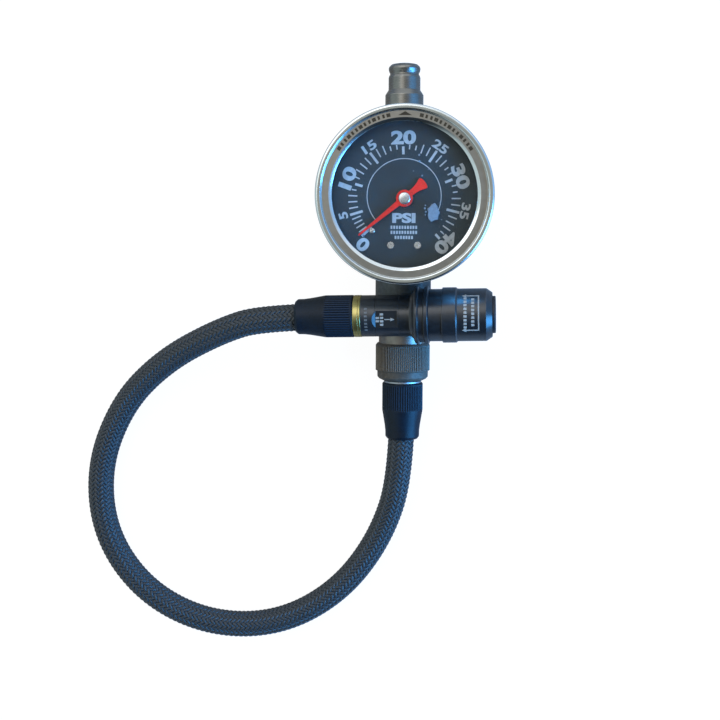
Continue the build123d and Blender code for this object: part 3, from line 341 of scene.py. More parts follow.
def wear_group():
    """Wear on a piece's edges and grime in its corners, from the piece's own edge attribute."""
    tree, given, out = new_tree(
        "Edge Wear",
        "ShaderNodeTree",
        [("Place", "NodeSocketVector"), ("Edge", "NodeSocketFloat"), ("Amount", "NodeSocketFloat", 0.5)],
        [("Worn", "NodeSocketFloat"), ("Grime", "NodeSocketFloat")],
    )
    patchy = noise(tree, given["Place"], 700.0, 3.0)
    worn = times(tree, ramp(tree, given["Edge"], 0.35, 1.0), ramp(tree, patchy, 0.38, 0.62))
    grime = times(tree, ramp(tree, times(tree, given["Edge"], -1.0), 0.2, 1.0), patchy)
    feed(tree, out["Worn"], times(tree, worn, given["Amount"], clamp=True))
    feed(tree, out["Grime"], times(tree, grime, 1.4, clamp=True))
    return tree


EFFECTS = {
    "grain": ("Fine Grain", grain_group),
    "turning": ("Turning Marks", turning_group),
    "wear": ("Edge Wear", wear_group),
}


def effect(tree, kind, inputs):
    """Places a shared effect in a material, and builds it the first time."""
    name, build = EFFECTS[kind]
    group = bpy.data.node_groups.get(name) or build()
    return add(tree, "ShaderNodeGroup", inputs, node_tree=group).outputs


def mottled(tree, place, scale, dark, light):
    """Fine mottle between two colours."""
    colours = {"Dark": colour4(dark), "Light": colour4(light)}
    return effect(tree, "grain", {"Place": place, "Scale": scale, **colours})


def attribute(tree, name):
    """A value that a piece carries for each of its points."""
    return add(tree, "ShaderNodeAttribute", attribute_name=name).outputs["Fac"]


def wear_of(tree, place, amount):
    """Wear and grime where the piece's edges and corners are."""
    return effect(tree, "wear", {"Place": place, "Edge": attribute(tree, "edge"), "Amount": amount})


# Materials

BARE_ALUMINIUM = (0.16, 0.17, 0.19)
BARE_GUNMETAL = (0.4, 0.39, 0.36)
BARE_BRASS = (0.7, 0.6, 0.3)


def new_material(name, colour, **values):
    """A material with its Principled shader and the shader's plain values."""
    material = bpy.data.materials.new(name)
    material.use_nodes = True
    material.diffuse_color = colour4(colour)
    shader = material.node_tree.nodes["Principled BSDF"]
    shader.inputs["Base Color"].default_value = colour4(colour)
    for socket, value in values.items():
        shader.inputs[socket.replace("_", " ")].default_value = value
    return material, material.node_tree, shader


def place_of(tree, axis):
    """A piece's own local place, or the object's place with an axis turned upright."""
    if axis == "local":
        return add(tree, "ShaderNodeAttribute", attribute_name="local").outputs["Vector"]
    turn = {"x": (0.0, -math.pi / 2, 0.0), "y": (math.pi / 2, 0.0, 0.0), "z": (0.0, 0.0, 0.0)}[axis]
    here = add(tree, "ShaderNodeTexCoord").outputs["Object"]
    return add(tree, "ShaderNodeMapping", {"Vector": here, "Rotation": turn}).outputs[0]


def bump(tree, shader, height, distance):
    """Feeds a height to the shader's normal."""
    made = add(tree, "ShaderNodeBump", {"Height": height, "Distance": distance, "Strength": 1.0})
    feed(tree, shader.inputs["Normal"], made.outputs[0])


def metal(name, colour, roughness, axis="local", shade=0.75, worn=None, wear=0.0, marks=4e-6):
    """A turned metal: base colour with streaks, rings of turning, worn edges and dark corners."""
    material, tree, shader = new_material(name, colour, Metallic=1.0)
    place = place_of(tree, axis)
    base = Vector(colour)
    rings = effect(tree, "turning", {"Place": place})
    mottle = mottled(tree, place, 420.0, base * shade, colour)
    used = wear_of(tree, place, wear)
    streaked = blend_colours(tree, times(tree, rings["Streak"], 0.35), mottle["Color"], base * shade)
    dirty = blend_colours(tree, times(tree, used["Grime"], 0.6), streaked, base * 0.25)
    feed(tree, shader.inputs["Base Color"], blend_colours(tree, used["Worn"], dirty, worn or colour))
    rough = plus(tree, roughness - 0.06, times(tree, rings["Streak"], 0.12))
    feed(tree, shader.inputs["Roughness"], plus(tree, rough, times(tree, used["Grime"], 0.25)))
    bump(tree, shader, rings["Height"], marks)
    return material


def anodised(name, colour, roughness, metallic=0.0, **values):
    """Dark anodised aluminium: a coloured skin with faint turning rings that wears on its edges, with painted
    shade in its grooves and a painted highlight on the crests of its ribs.
    """
    material, tree, shader = new_material(name, colour, Metallic=metallic, **values)
    place = place_of(tree, "local")
    base = Vector(colour)
    rings = effect(tree, "turning", {"Place": place, "Fineness": 7000.0})
    mottle = mottled(tree, place, 600.0, base * 0.75, base * 1.3)
    used = wear_of(tree, place, 0.5)
    # Painted shade: the grooves are darkened towards near black, together with grime in corners; crest_highlight
    # paints a highlight on the ribs' tops.
    sunk = ramp(tree, attribute(tree, "groove"), 0.15, 0.6)
    dark = calc(tree, "MAXIMUM", times(tree, used["Grime"], 0.7), times(tree, sunk, 0.95))
    skin = blend_colours(tree, dark, mottle["Color"], base * 0.12)
    skin = blend_colours(tree, times(tree, attribute(tree, "crest_highlight"), 0.8), skin, base * 2.4)
    feed(tree, shader.inputs["Base Color"], blend_colours(tree, used["Worn"], skin, BARE_ALUMINIUM))
    rough = plus(tree, roughness - 0.05, times(tree, rings["Streak"], 0.1))
    rough = plus(tree, rough, times(tree, sunk, 0.35))
    feed(tree, shader.inputs["Roughness"], plus(tree, rough, times(tree, mottle["Patch"], 0.06)))
    bump(tree, shader, rings["Height"], 3e-6)
    return material


def rubber(name, colour, roughness, axis="local", **values):
    """Moulded rubber: a soft mottle with fine pits, paler on its edges, with painted shade in its grooves and a
    painted highlight on the crests of its ribs.
    """
    material, tree, shader = new_material(name, colour, **values)
    place = place_of(tree, axis)
    base = Vector(colour)
    mottle = mottled(tree, place, 1500.0, base * 0.7, base * 1.5)
    used = wear_of(tree, place, 0.35)
    # Painted shade darkens the grooves, and crest_highlight paints a highlight on the ribs' tops.
    sunk = ramp(tree, attribute(tree, "groove"), 0.15, 0.7)
    shaded = blend_colours(tree, times(tree, sunk, 0.9), mottle["Color"], base * 0.12)
    shaded = blend_colours(tree, times(tree, attribute(tree, "crest_highlight"), 0.7), shaded, base * 3.5)
    feed(tree, shader.inputs["Base Color"], blend_colours(tree, used["Worn"], shaded, base * 2.5))
    rough = plus(tree, roughness - 0.08, times(tree, mottle["Patch"], 0.16))
    feed(tree, shader.inputs["Roughness"], plus(tree, rough, times(tree, sunk, 0.4)))
    bump(tree, shader, mottle["Height"], 2.5e-5)
    return material


def yarn(name, colour):
    """Braided yarn: fine filaments along each strand, a tone of its own for each, and a painted highlight on each
    filament's crest.
    """
    material, tree, shader = new_material(
        name, colour, Sheen_Weight=0.08, Sheen_Roughness=0.4, Specular_IOR_Level=0.8
    )
    across, along, tone = (attribute(tree, key) for key in ("across", "along", "tone"))
    filament = calc(tree, "SINE", times(tree, across, 40.0))
    place = combined(tree, times(tree, along, 900.0), times(tree, across, 3.0), tone)
    mottle = noise(tree, place, 1.0, 2.0)
    base = Vector(colour)
    dyed = blend_colours(tree, ramp(tree, mottle, 0.3, 0.7), base * 0.7, base * 1.35)
    # Painted highlight: the crest of each filament is lightened towards a paler yarn colour.
    shade = times(tree, ramp(tree, filament, -1.0, 1.0), 0.25)
    feed(tree, shader.inputs["Base Color"], blend_colours(tree, shade, dyed, base * 1.8))
    feed(tree, shader.inputs["Roughness"], plus(tree, 0.4, times(tree, mottle, 0.16)))
    bump(tree, shader, plus(tree, filament, mottle), 1.5e-5)
    return material


def enamel(name, colour, roughness, **values):
    """Flat printed or sprayed paint with a faint orange peel."""
    material, tree, shader = new_material(name, colour, **values)
    base = Vector(colour)
    mottle = mottled(tree, place_of(tree, "z"), 1100.0, base * 0.85, base * 1.12)
    feed(tree, shader.inputs["Base Color"], mottle["Color"])
    feed(tree, shader.inputs["Roughness"], plus(tree, roughness - 0.05, times(tree, mottle["Patch"], 0.1)))
    bump(tree, shader, mottle["Height"], 4e-6)
    return material


def clear_glass(name):
    """The window: clear glass that lets lamp light through to the dial."""
    material, tree, shader = new_material(name, (1, 1, 1), Transmission_Weight=1.0, IOR=1.3)
    smear = mottled(tree, place_of(tree, "z"), 260.0, (0, 0, 0), (1, 1, 1))
    feed(tree, shader.inputs["Roughness"], times(tree, ramp(tree, smear["Patch"], 0.4, 0.75), 0.05))
    open_way = add(tree, "ShaderNodeBsdfTransparent")
    shadow = add(tree, "ShaderNodeLightPath").outputs["Is Shadow Ray"]
    both = add(tree, "ShaderNodeMixShader", {0: shadow, 1: shader.outputs[0], 2: open_way.outputs[0]})
    feed(tree, tree.nodes["Material Output"].inputs["Surface"], both.outputs[0])
    return material


MATERIALS = {}


def finish_of(name):
    """One of the object's finishes, built the first time that it is asked for."""
    if name not in MATERIALS:
        gauge, manifold, hose, chuck = (settings(k) for k in ("gauge", "manifold", "hose", "chuck"))
        makers = {
            "bezel steel": lambda: metal(name, (0.76, 0.79, 0.78), 0.15, shade=0.92, marks=1.5e-6),
            # The band is satin steel; its brown tint is a painted reflection.
            "band steel": lambda: metal(name, (0.4, 0.365, 0.31), 0.34, shade=0.85, marks=3e-6),
            "case steel": lambda: metal(name, (0.55, 0.56, 0.56), 0.26, shade=0.85),
            "etched mark": lambda: metal(name, (0.1, 0.08, 0.055), 0.5, "z", marks=3e-6),
            "window glass": lambda: clear_glass(name),
            # Pale opaque finish of the bubbles: painted reflection.
            "bubble glint": lambda: enamel(name, (0.17, 0.22, 0.26), 0.14, Coat_Weight=0.6),
            "dial paint": lambda: enamel(name, gauge.dial_colour, 0.5),
            "dial print": lambda: enamel(name, gauge.print_colour, 0.55),
            "pointer red": lambda: enamel(name, gauge.pointer_colour, 0.4, Coat_Weight=0.1),
            "cap silver": lambda: metal(name, (0.78, 0.78, 0.76), 0.24, "z", shade=0.8),
            "movement brass": lambda: metal(name, (0.6, 0.46, 0.19), 0.35, "z", shade=0.8),
            "plug gunmetal": lambda: metal(name, (0.24, 0.23, 0.21), 0.27, worn=BARE_GUNMETAL, wear=0.5),
            "stem nickel": lambda: metal(name, (0.3, 0.265, 0.23), 0.36, "y", shade=0.7),
            "ring nickel": lambda: metal(name, (0.42, 0.44, 0.46), 0.42, "y", shade=0.85),
            "spring steel": lambda: metal(name, (0.5, 0.5, 0.5), 0.3, "y"),
            "ball steel": lambda: metal(name, (0.7, 0.7, 0.7), 0.12, "z"),
            "column aluminium": lambda: anodised(name, manifold.column_colour, 0.36, metallic=0.4),
            "collar aluminium": lambda: anodised(
                name, (0.105, 0.088, 0.07), 0.5, metallic=0.2, Specular_IOR_Level=0.4
            ),
            "chuck aluminium": lambda: anodised(name, chuck.body_colour, 0.27, Specular_IOR_Level=0.75),
            # Painted shade for the milled flat: the body colour made darker.
            "chuck flat shade": lambda: enamel(name, Vector(chuck.body_colour) * 0.55, 0.45),
            "chuck print": lambda: enamel(name, (0.42, 0.38, 0.33), 0.5),
            "faint print": lambda: enamel(name, (0.16, 0.15, 0.14), 0.5),
            "ring brass": lambda: metal(
                name, chuck.brass_colour, 0.32, shade=0.85, worn=BARE_BRASS, wear=0.35
            ),
            "boot rubber": lambda: rubber(name, hose.boot_colour, 0.44, Specular_IOR_Level=0.25),
            "seal rubber": lambda: rubber(name, (0.012, 0.012, 0.014), 0.5, "y"),
            "hose core": lambda: rubber(name, (0.006, 0.007, 0.009), 0.7, "z"),
            "hose yarn": lambda: yarn(name, hose.braid_colour),
        }
        MATERIALS[name] = makers[name]()
    return MATERIALS[name]


# Mesh helpers


def rounded_section(corners, steps=4):
    """Rounds the corners (radius, station, fillet) of a closed section in mm.

    Gives each point's place, outward direction and edge weight (above 0 on a ridge, below in a corner),
    and the side that the section turns to.
    """
    spots = [np.array(c[:2], float) for c in corners]
    turns = sum(a[0] * b[1] - b[0] * a[1] for a, b in zip(spots, spots[1:] + spots[:1]))
    side = 1.0 if turns > 0 else -1.0
    rows = []
    for i, corner in enumerate(corners):
        here, back, on = spots[i], spots[i - 1] - spots[i], spots[(i + 1) % len(spots)] - spots[i]
        back_length, on_length = np.hypot(*back), np.hypot(*on)
        back, on = back / back_length, on / on_length
        if here[0] == 0:
            way = -back if spots[i - 1][0] > 0 else on
            rows.append((here, side * np.array((way[1], -way[0])), 0.0))
            continue
        half = math.acos(max(-1.0, min(1.0, float(back @ on)))) / 2
        cut = min(corner[2] / math.tan(half), 0.48 * back_length, 0.48 * on_length)
        ridge = side * (back[1] * on[0] - back[0] * on[1])
        for k in range(steps + 1):
            t = k / steps
            spot = here + (1 - t) ** 2 * cut * back + t**2 * cut * on
            way = (1 - t) * -back + t * on
            out = side * np.array((way[1], -way[0])) / np.hypot(*way)
            rows.append((spot, out, math.copysign(math.sin(math.pi * t), ridge)))
    return rows, side


def turned(name, corners, place=None, segments=128, steps=4):
    """A piece turned on a lathe: its section of (radius, station, fillet) in mm, round the local z axis.

    With a place it gets exact smooth normals; without one it stays in its own frame, for a tree to work on.
    """
    rows, side = rounded_section(corners, steps)
    angles = np.arange(segments) * 2 * math.pi / segments
    ring = np.stack([np.cos(angles), np.sin(angles)], 1)
    points, normals, edges, start = [], [], [], []
    for spot, out, edge in rows:
        start.append(len(points))
        for c, s in ring if spot[0] > 0 else [(0.0, 0.0)]:
            points.append((spot[0] * c * MM, spot[0] * s * MM, spot[1] * MM))
            normals.append((out[0] * c, out[0] * s, out[1]))
            edges.append(edge)
    faces = []
    for i in range(len(rows)):
        j = (i + 1) % len(rows)
        a_pole, b_pole = rows[i][0][0] == 0, rows[j][0][0] == 0
        for k in range(segments if not (a_pole and b_pole) else 0):
            m = (k + 1) % segments
            a, b = start[i], start[j]
            if a_pole:
                face = [a, b + m, b + k]
            elif b_pole:
                face = [a + k, a + m, b]
            else:
                face = [a + k, a + m, b + m, b + k]
            faces.append(face if side > 0 else face[::-1])
    mesh = bpy.data.meshes.new(name)
    mesh.from_pydata(points, [], faces)
    mesh.polygons.foreach_set("use_smooth", [True] * len(faces))
    own_places = mesh.attributes.new("local", "FLOAT_VECTOR", "POINT").data
    own_places.foreach_set("vector", np.array(points, np.float32).ravel())
    mesh.attributes.new("edge", "FLOAT", "POINT").data.foreach_set("value", np.array(edges, np.float32))
    if place is not None:
        mesh.transform(place)
        turn = np.array(place.to_3x3())
        mesh.normals_split_custom_set_from_vertices((np.array(normals) @ turn.T).tolist())
    return linked(name, mesh)


def linked(name, mesh):
    """A new object of the scene for a mesh."""
    piece = bpy.data.objects.new(name, mesh)
    bpy.context.scene.collection.objects.link(piece)
    return piece


def from_shape(name, shape):
    """A new object of the scene for a bmesh, which it frees."""
    mesh = bpy.data.meshes.new(name)
    shape.to_mesh(mesh)
    shape.free()
    return linked(name, mesh)


def raised_by(shape, faces):
    """Extrudes faces of a bmesh and gives the new vertices, still in place."""
    grown_parts = bmesh.ops.extrude_face_region(shape, geom=faces)["geom"]
    return [v for v in grown_parts if isinstance(v, bmesh.types.BMVert)]


def plain_spots(mesh):
    """The places of a mesh's vertices as rows of numbers."""
    spots = np.zeros(len(mesh.vertices) * 3)
    mesh.vertices.foreach_get("co", spots)
    return spots.reshape(-1, 3)


def settle(piece, finish, body, slot, *nodes):
    """Gives a piece its material and body, and hides the nodes that it stands for; the slot is not used."""
    piece.data.materials.clear()
    piece.data.materials.append(finish_of(finish))
    piece.data.polygons.foreach_set("material_index", [0] * len(piece.data.polygons))
    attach(piece, body)
    if nodes:
        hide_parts(*nodes)


def dress(finish, *nodes):
    """Gives CAD nodes a material."""
    for name in nodes:
        for slot in frame["nodes"][name].material_slots:
            slot.material = finish_of(finish)


def coil(name, node):
    """A spring with a copy of the CAD's own coil."""
    piece = linked(name, frame["nodes"][node].data.copy())
    settle(piece, "spring steel", "manifold", "spring_steel", node)
    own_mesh(piece)


def tree_mesh(piece, tree, values):
    """What a Geometry Nodes tree makes of an object, as a plain mesh; values are named as its inputs."""
    modifier = piece.modifiers.new("shape", "NODES")
    modifier.node_group = tree
    sockets = [item for item in tree.interface.items_tree if item.item_type == "SOCKET"]
    inputs = {item.name: item.identifier for item in sockets if item.in_out == "INPUT"}
    for title, value in values.items():
        modifier[inputs[title]] = value
    graph = bpy.context.evaluated_depsgraph_get()
    mesh = bpy.data.meshes.new_from_object(
        piece.evaluated_get(graph), preserve_all_data_layers=True, depsgraph=graph
    )
    piece.modifiers.clear()
    return mesh


def grown(piece, tree, **values):
    """Runs a Geometry Nodes tree on a mesh piece and keeps what it makes as the piece's plain mesh."""
    mesh = tree_mesh(piece, tree, {key.replace("_", " "): value for key, value in values.items()})
    old, piece.data = piece.data, mesh
    bpy.data.meshes.remove(old)
    return piece


def joined(name, parts):
    """One mesh object from several, in their place."""
    shape = bmesh.new()
    for part in parts:
        shape.from_mesh(part.data)
        bpy.data.objects.remove(part)
    return from_shape(name, shape)


def plate(name, outline, low, high, bevel=0.0):
    """A flat plate from an outline in mm between two heights in mm, with its upper edge bevelled."""
    shape = bmesh.new()
    face = shape.faces.new([shape.verts.new((x * MM, y * MM, low * MM)) for x, y in outline])
    raised = raised_by(shape, [face])
    bmesh.ops.translate(shape, verts=raised, vec=(0, 0, (high - low) * MM))
    if bevel:
        edges = [e for e in shape.edges if all(v in raised for v in e.verts)]
        bmesh.ops.bevel(shape, geom=edges, offset=bevel * MM, segments=3, affect="EDGES", profile=0.6)
    bmesh.ops.recalc_face_normals(shape, faces=shape.faces)
    return from_shape(name, shape)


def bar(x, y, half_width, half_height):
    """The outline of an upright bar round its middle."""
    sides = ((-1, -1), (1, -1), (1, 1), (-1, 1))
    return [(x + across * half_width, y + up * half_height) for across, up in sides]


def arc_points(radius, start, end, count, centre=(0.0, 0.0)):
    """Points along an arc, between two directions in degrees."""
    turns = np.radians(np.linspace(start, end, count))
    return [(centre[0] + radius * math.cos(t), centre[1] + radius * math.sin(t)) for t in turns]


def wrapped(name, outlines, radius, place, heading, thickness=0.05, step=0.4):
    """Flat marks laid on a barrel: outlines of (station, distance round) in mm, centred on a heading."""
    shape = bmesh.new()
    for outline in outlines:
        shape.faces.new([shape.verts.new((s, d, 0.0)) for s, d in outline])
    reach = max(abs(d) for outline in outlines for _, d in outline)
    for cut in np.arange(-math.floor(reach / step) * step, reach, step):
        geometry = shape.verts[:] + shape.edges[:] + shape.faces[:]
        bmesh.ops.bisect_plane(shape, geom=geometry, plane_co=(0, cut, 0), plane_no=(0, 1, 0))
    for v in raised_by(shape, shape.faces[:]):
        v.co.z = thickness
    for v in shape.verts:
        station, round_way, height = v.co
        turn = math.radians(heading) + round_way / radius
        reach = radius + height
        v.co = place @ Vector((reach * math.cos(turn) * MM, reach * math.sin(turn) * MM, station * MM))
    bmesh.ops.recalc_face_normals(shape, faces=shape.faces)
    return from_shape(name, shape)


# Geometry Nodes trees

SEAM_NUDGE = 0.0001  # keeps the first rib's own vertices off the pattern's seam


def stored(tree, geometry, name, value, kind="FLOAT"):
    """Geometry with a value kept for each of its points."""
    inputs = {"Geometry": geometry, "Name": name, "Value": value}
    return add(tree, "GeometryNodeStoreNamedAttribute", inputs, data_type=kind, domain="POINT").outputs[0]


def named(tree, name, kind="FLOAT"):
    """A value kept earlier for each point."""
    return add(tree, "GeometryNodeInputNamedAttribute", {"Name": name}, data_type=kind).outputs[0]


def ribbed_tree():
    """Cuts lengthwise grooves into the outer surface of a turned piece in its local frame."""
    tree, given, out = new_tree(
        "Ribbed Surface",
        "GeometryNodeTree",
        [
            ("Geometry", "NodeSocketGeometry"),
            ("Ribs", "NodeSocketInt", 50),
            ("Depth", "NodeSocketFloat", 0.0003),
            ("Groove Share", "NodeSocketFloat", 0.5),
            ("Start", "NodeSocketFloat", 0.0),
            ("End", "NodeSocketFloat", 0.01),
            ("Fade", "NodeSocketFloat", 0.0006),
            ("Least Radius", "NodeSocketFloat", 0.007),
            ("Material", "NodeSocketMaterial"),
        ],
        [("Geometry", "NodeSocketGeometry")],
    )
    x, y, z = parts_of(tree, add(tree, "GeometryNodeInputPosition").outputs[0])
    flat = combined(tree, x, y)
    radius = vector_step(tree, "LENGTH", {0: flat})
    turn = calc(tree, "DIVIDE", calc(tree, "ARCTAN2", y, x), 2 * math.pi)
    along_rib = calc(tree, "FRACT", plus(tree, times(tree, turn, given["Ribs"]), SEAM_NUDGE))
    from_groove = minus(tree, 0.5, calc(tree, "ABSOLUTE", minus(tree, along_rib, 0.5)))
    groove = minus(tree, 1.0, ramp(tree, from_groove, 0.0, times(tree, given["Groove Share"], 0.5)))
    rise = ramp(tree, z, given["Start"], plus(tree, given["Start"], given["Fade"]))
    fall = ramp(tree, z, minus(tree, given["End"], given["Fade"]), given["End"])
    outside = calc(tree, "GREATER_THAN", radius, given["Least Radius"])
    mask = times(tree, times(tree, rise, minus(tree, 1.0, fall)), outside)
    cut = times(tree, groove, mask)
    # crest_highlight marks the ribs' tops for the materials' painted highlight; groove also sets where they paint
    # shade.
    crest_highlight = times(tree, mask, minus(tree, 1.0, ramp(tree, groove, 0.0, 0.45)))
    outwards = vector_step(tree, "NORMALIZE", {0: flat})
    depth = times(tree, times(tree, cut, given["Depth"]), -1.0)
    offset = vector_step(tree, "SCALE", {0: outwards, "Scale": depth})
    kept = stored(tree, stored(tree, given["Geometry"], "groove", cut), "crest_highlight", crest_highlight)
    moved = add(tree, "GeometryNodeSetPosition", {"Geometry": kept, "Offset": offset}).outputs[0]
    ended(tree, out, moved, given["Material"])
    return tree


def ended(tree, out, geometry, material):
    """The end of each tree: real geometry, with its material."""
    real = add(tree, "GeometryNodeRealizeInstances", {"Geometry": geometry}).outputs[0]
    done = add(tree, "GeometryNodeSetMaterial", {"Geometry": real, "Material": material}).outputs[0]
    feed(tree, out["Geometry"], done)


MARK_KEYS = ("turn", "inner", "outer", "width")


def marks_tree():
    """Sets a flat bar at each point of a mesh, from the point's turn, inner, outer and width attributes."""
    tree, given, out = new_tree(
        "Dial Marks",
        "GeometryNodeTree",
        [
            ("Geometry", "NodeSocketGeometry"),
            ("Centre", "NodeSocketVector"),
            ("Thickness", "NodeSocketFloat", 0.00008),
            ("Material", "NodeSocketMaterial"),
        ],
        [("Geometry", "NodeSocketGeometry")],
    )
    turn, inner, outer, width = (named(tree, key) for key in MARK_KEYS)
    middle = times(tree, plus(tree, inner, outer), 0.5)
    spot = combined(
        tree,
        times(tree, middle, calc(tree, "COSINE", turn)),
        times(tree, middle, calc(tree, "SINE", turn)),
        times(tree, given["Thickness"], 0.5),
    )
    spot = vector_step(tree, "ADD", {0: spot, 1: given["Centre"]})
    spots = {"Geometry": given["Geometry"], "Position": spot}
    points = add(tree, "GeometryNodeSetPosition", spots).outputs[0]
    cube = add(tree, "GeometryNodeMeshCube", {"Size": (1.0, 1.0, 1.0)}).outputs[0]
    size = combined(tree, minus(tree, outer, inner), width, given["Thickness"])
    inputs = {"Points": points, "Instance": cube, "Rotation": combined(tree, z=turn), "Scale": size}
    bars = add(tree, "GeometryNodeInstanceOnPoints", inputs).outputs[0]
    ended(tree, out, bars, given["Material"])
    return tree


def braid_tree():
    """Winds strands round a curve in one hand, each over two and under two of the other hand's."""
    tree, given, out = new_tree(
        "Braided Sleeve",
        "GeometryNodeTree",
        [
            ("Geometry", "NodeSocketGeometry"),
            ("Strands", "NodeSocketInt", 18),
            ("Hand", "NodeSocketFloat", 1.0),
            ("Pitch", "NodeSocketFloat", 0.036),
            ("Radius", "NodeSocketFloat", 0.0052),
            ("Weave", "NodeSocketFloat", 0.0002),
            ("Strand Width", "NodeSocketFloat", 0.0015),
            ("Strand Thickness", "NodeSocketFloat", 0.0005),
            ("Samples", "NodeSocketInt", 700),
            ("Seed", "NodeSocketInt", 4),
            ("Material", "NodeSocketMaterial"),
        ],
        [("Geometry", "NodeSocketGeometry")],
    )
    count = {"Curve": given["Geometry"], "Count": given["Samples"]}
    line = add(tree, "GeometryNodeResampleCurve", count).outputs[0]
    amount = {"Geometry": line, "Amount": given["Strands"]}
    copies = add(tree, "GeometryNodeDuplicateElements", amount, domain="SPLINE")
    index = copies.outputs["Duplicate Index"]
    length = add(tree, "GeometryNodeSplineParameter").outputs["Length"]
    laps = calc(tree, "DIVIDE", length, given["Pitch"])
    share = calc(tree, "DIVIDE", index, given["Strands"])
    angle = times(tree, plus(tree, times(tree, laps, given["Hand"]), share), 2 * math.pi)
    crossing = times(tree, laps, times(tree, given["Strands"], 2.0))
    phase = plus(tree, times(tree, index, 2.0), times(tree, crossing, given["Hand"]))
    wave = calc(tree, "COSINE", minus(tree, times(tree, phase, math.pi / 2), math.pi / 4))
    lift = times(tree, times(tree, wave, given["Hand"]), given["Weave"])
    normal = add(tree, "GeometryNodeInputNormal").outputs[0]
    tangent = add(tree, "GeometryNodeInputTangent").outputs[0]
    side = vector_step(tree, "CROSS_PRODUCT", {0: tangent, 1: normal})
    first = vector_step(tree, "SCALE", {0: normal, "Scale": calc(tree, "COSINE", angle)})
    second = vector_step(tree, "SCALE", {0: side, "Scale": calc(tree, "SINE", angle)})
    out_way = vector_step(tree, "ADD", {0: first, 1: second})
    shift = vector_step(tree, "SCALE", {0: out_way, "Scale": plus(tree, given["Radius"], lift)})
    draw = {"ID": index, "Seed": given["Seed"]}
    tone = add(tree, "FunctionNodeRandomValue", draw, data_type="FLOAT").outputs[1]
    geometry = stored(tree, copies.outputs["Geometry"], "out", out_way, "FLOAT_VECTOR")
    geometry = stored(tree, stored(tree, geometry, "along", length), "tone", tone)
    wound = add(tree, "GeometryNodeSetPosition", {"Geometry": geometry, "Offset": shift}).outputs[0]
    facing = add(tree, "GeometryNodeSetCurveNormal", {"Curve": wound}, mode="FREE")
    feed(tree, facing.inputs["Normal"], named(tree, "out", "FLOAT_VECTOR"))
    ring = add(tree, "GeometryNodeCurvePrimitiveCircle", {"Resolution": 6, "Radius": 0.5}).outputs[0]
    spot = add(tree, "GeometryNodeInputPosition").outputs[0]
    ring = stored(tree, ring, "across", parts_of(tree, spot)[1])
    size = combined(tree, given["Strand Thickness"], given["Strand Width"], 1.0)
    ring = add(tree, "GeometryNodeTransform", {"Geometry": ring, "Scale": size}).outputs[0]
    swept = {"Curve": facing.outputs[0], "Profile Curve": ring, "Fill Caps": True}
    ended(tree, out, add(tree, "GeometryNodeCurveToMesh", swept).outputs[0], given["Material"])
    return tree


# Gauge

TICK_TURNS = [221.5, 197.0, 164.0, 127.5, 91.7, 55.8, 21.5, -14.4, -48.5]
LONG_TICKS = {0, 5, 15, 25, 35}
SHORT_TICKS = {9, 11, 18, 19, 21, 22, 28, 29, 31, 32, 39}
NUMERALS = [
    ("0", 228.0, 23.9, 4.6, True),
    ("5", 195.8, 24.5, 2.7, False),
    ("10", 160.3, 23.2, 8.6, True),
    ("15", 124.8, 23.9, 5.6, False),
    ("20", 91.2, 23.2, 9.6, True),
    ("25", 55.2, 24.0, 6.2, False),
    ("30", 21.1, 23.2, 9.6, True),
    ("35", -11.7, 23.9, 6.2, False),
    ("40", -46.2, 23.5, 9.8, True),
]


def marks(name, rows, centre, thickness, finish):
    """Flat bars round a centre: rows of (direction in degrees, inner, outer, width) in mm."""
    mesh = bpy.data.meshes.new(name)
    mesh.from_pydata([(0, 0, 0)] * len(rows), [], [])
    table = np.array(rows, np.float32) * (math.radians(1), MM, MM, MM)
    for k, key in enumerate(MARK_KEYS):
        column = np.ascontiguousarray(table[:, k], dtype=np.float32)
        mesh.attributes.new(key, "FLOAT", "POINT").data.foreach_set("value", column)
    tree = bpy.data.node_groups.get("Dial Marks") or marks_tree()
    return grown(
        linked(name, mesh), tree, Centre=tuple(centre), Thickness=thickness * MM, Material=finish_of(finish)
    )


def dial_ticks():
    """The rows of the scale: one bar for each pound, long and wide at each five."""
    rows = []
    for pound in range(41):
        five, rest = divmod(pound, 5)
        turn = TICK_TURNS[five]
        if rest:
            turn += (TICK_TURNS[five + 1] - turn) * rest / 5
            inner, outer = (18.8, 20.6) if pound in SHORT_TICKS else (18.2, 21.7)
            rows.append((turn, inner, outer, 0.5))
        elif pound == 40:
            rows.append((turn, 18.3, 20.7, 0.95))
        else:
            rows.append((turn, 16.8, 21.9 if pound in LONG_TICKS else 19.8, 0.95))
    return rows


def lettering(name, body, width, height, weight=0.05):
    """Flat text in mm, stretched to a width and a height, centred on its own middle."""
    text = bpy.data.curves.new(name, "FONT")
    text.body = body
    text.offset = weight
    text.extrude = 0.02
    text.resolution_u = 6
    carrier = linked(name, text)
    mesh = bpy.data.meshes.new_from_object(carrier)
    bpy.data.objects.remove(carrier)
    spots = plain_spots(mesh)
    low, high = spots.min(0), spots.max(0)
    spots = (spots - (low + high) / 2) / np.maximum(high - low, 1e-9) * (width, height, 0.08)
    mesh.vertices.foreach_set("co", (spots * MM).astype(np.float32).ravel())
    return linked(name, mesh)


UNIT_X = -0.15 * MM


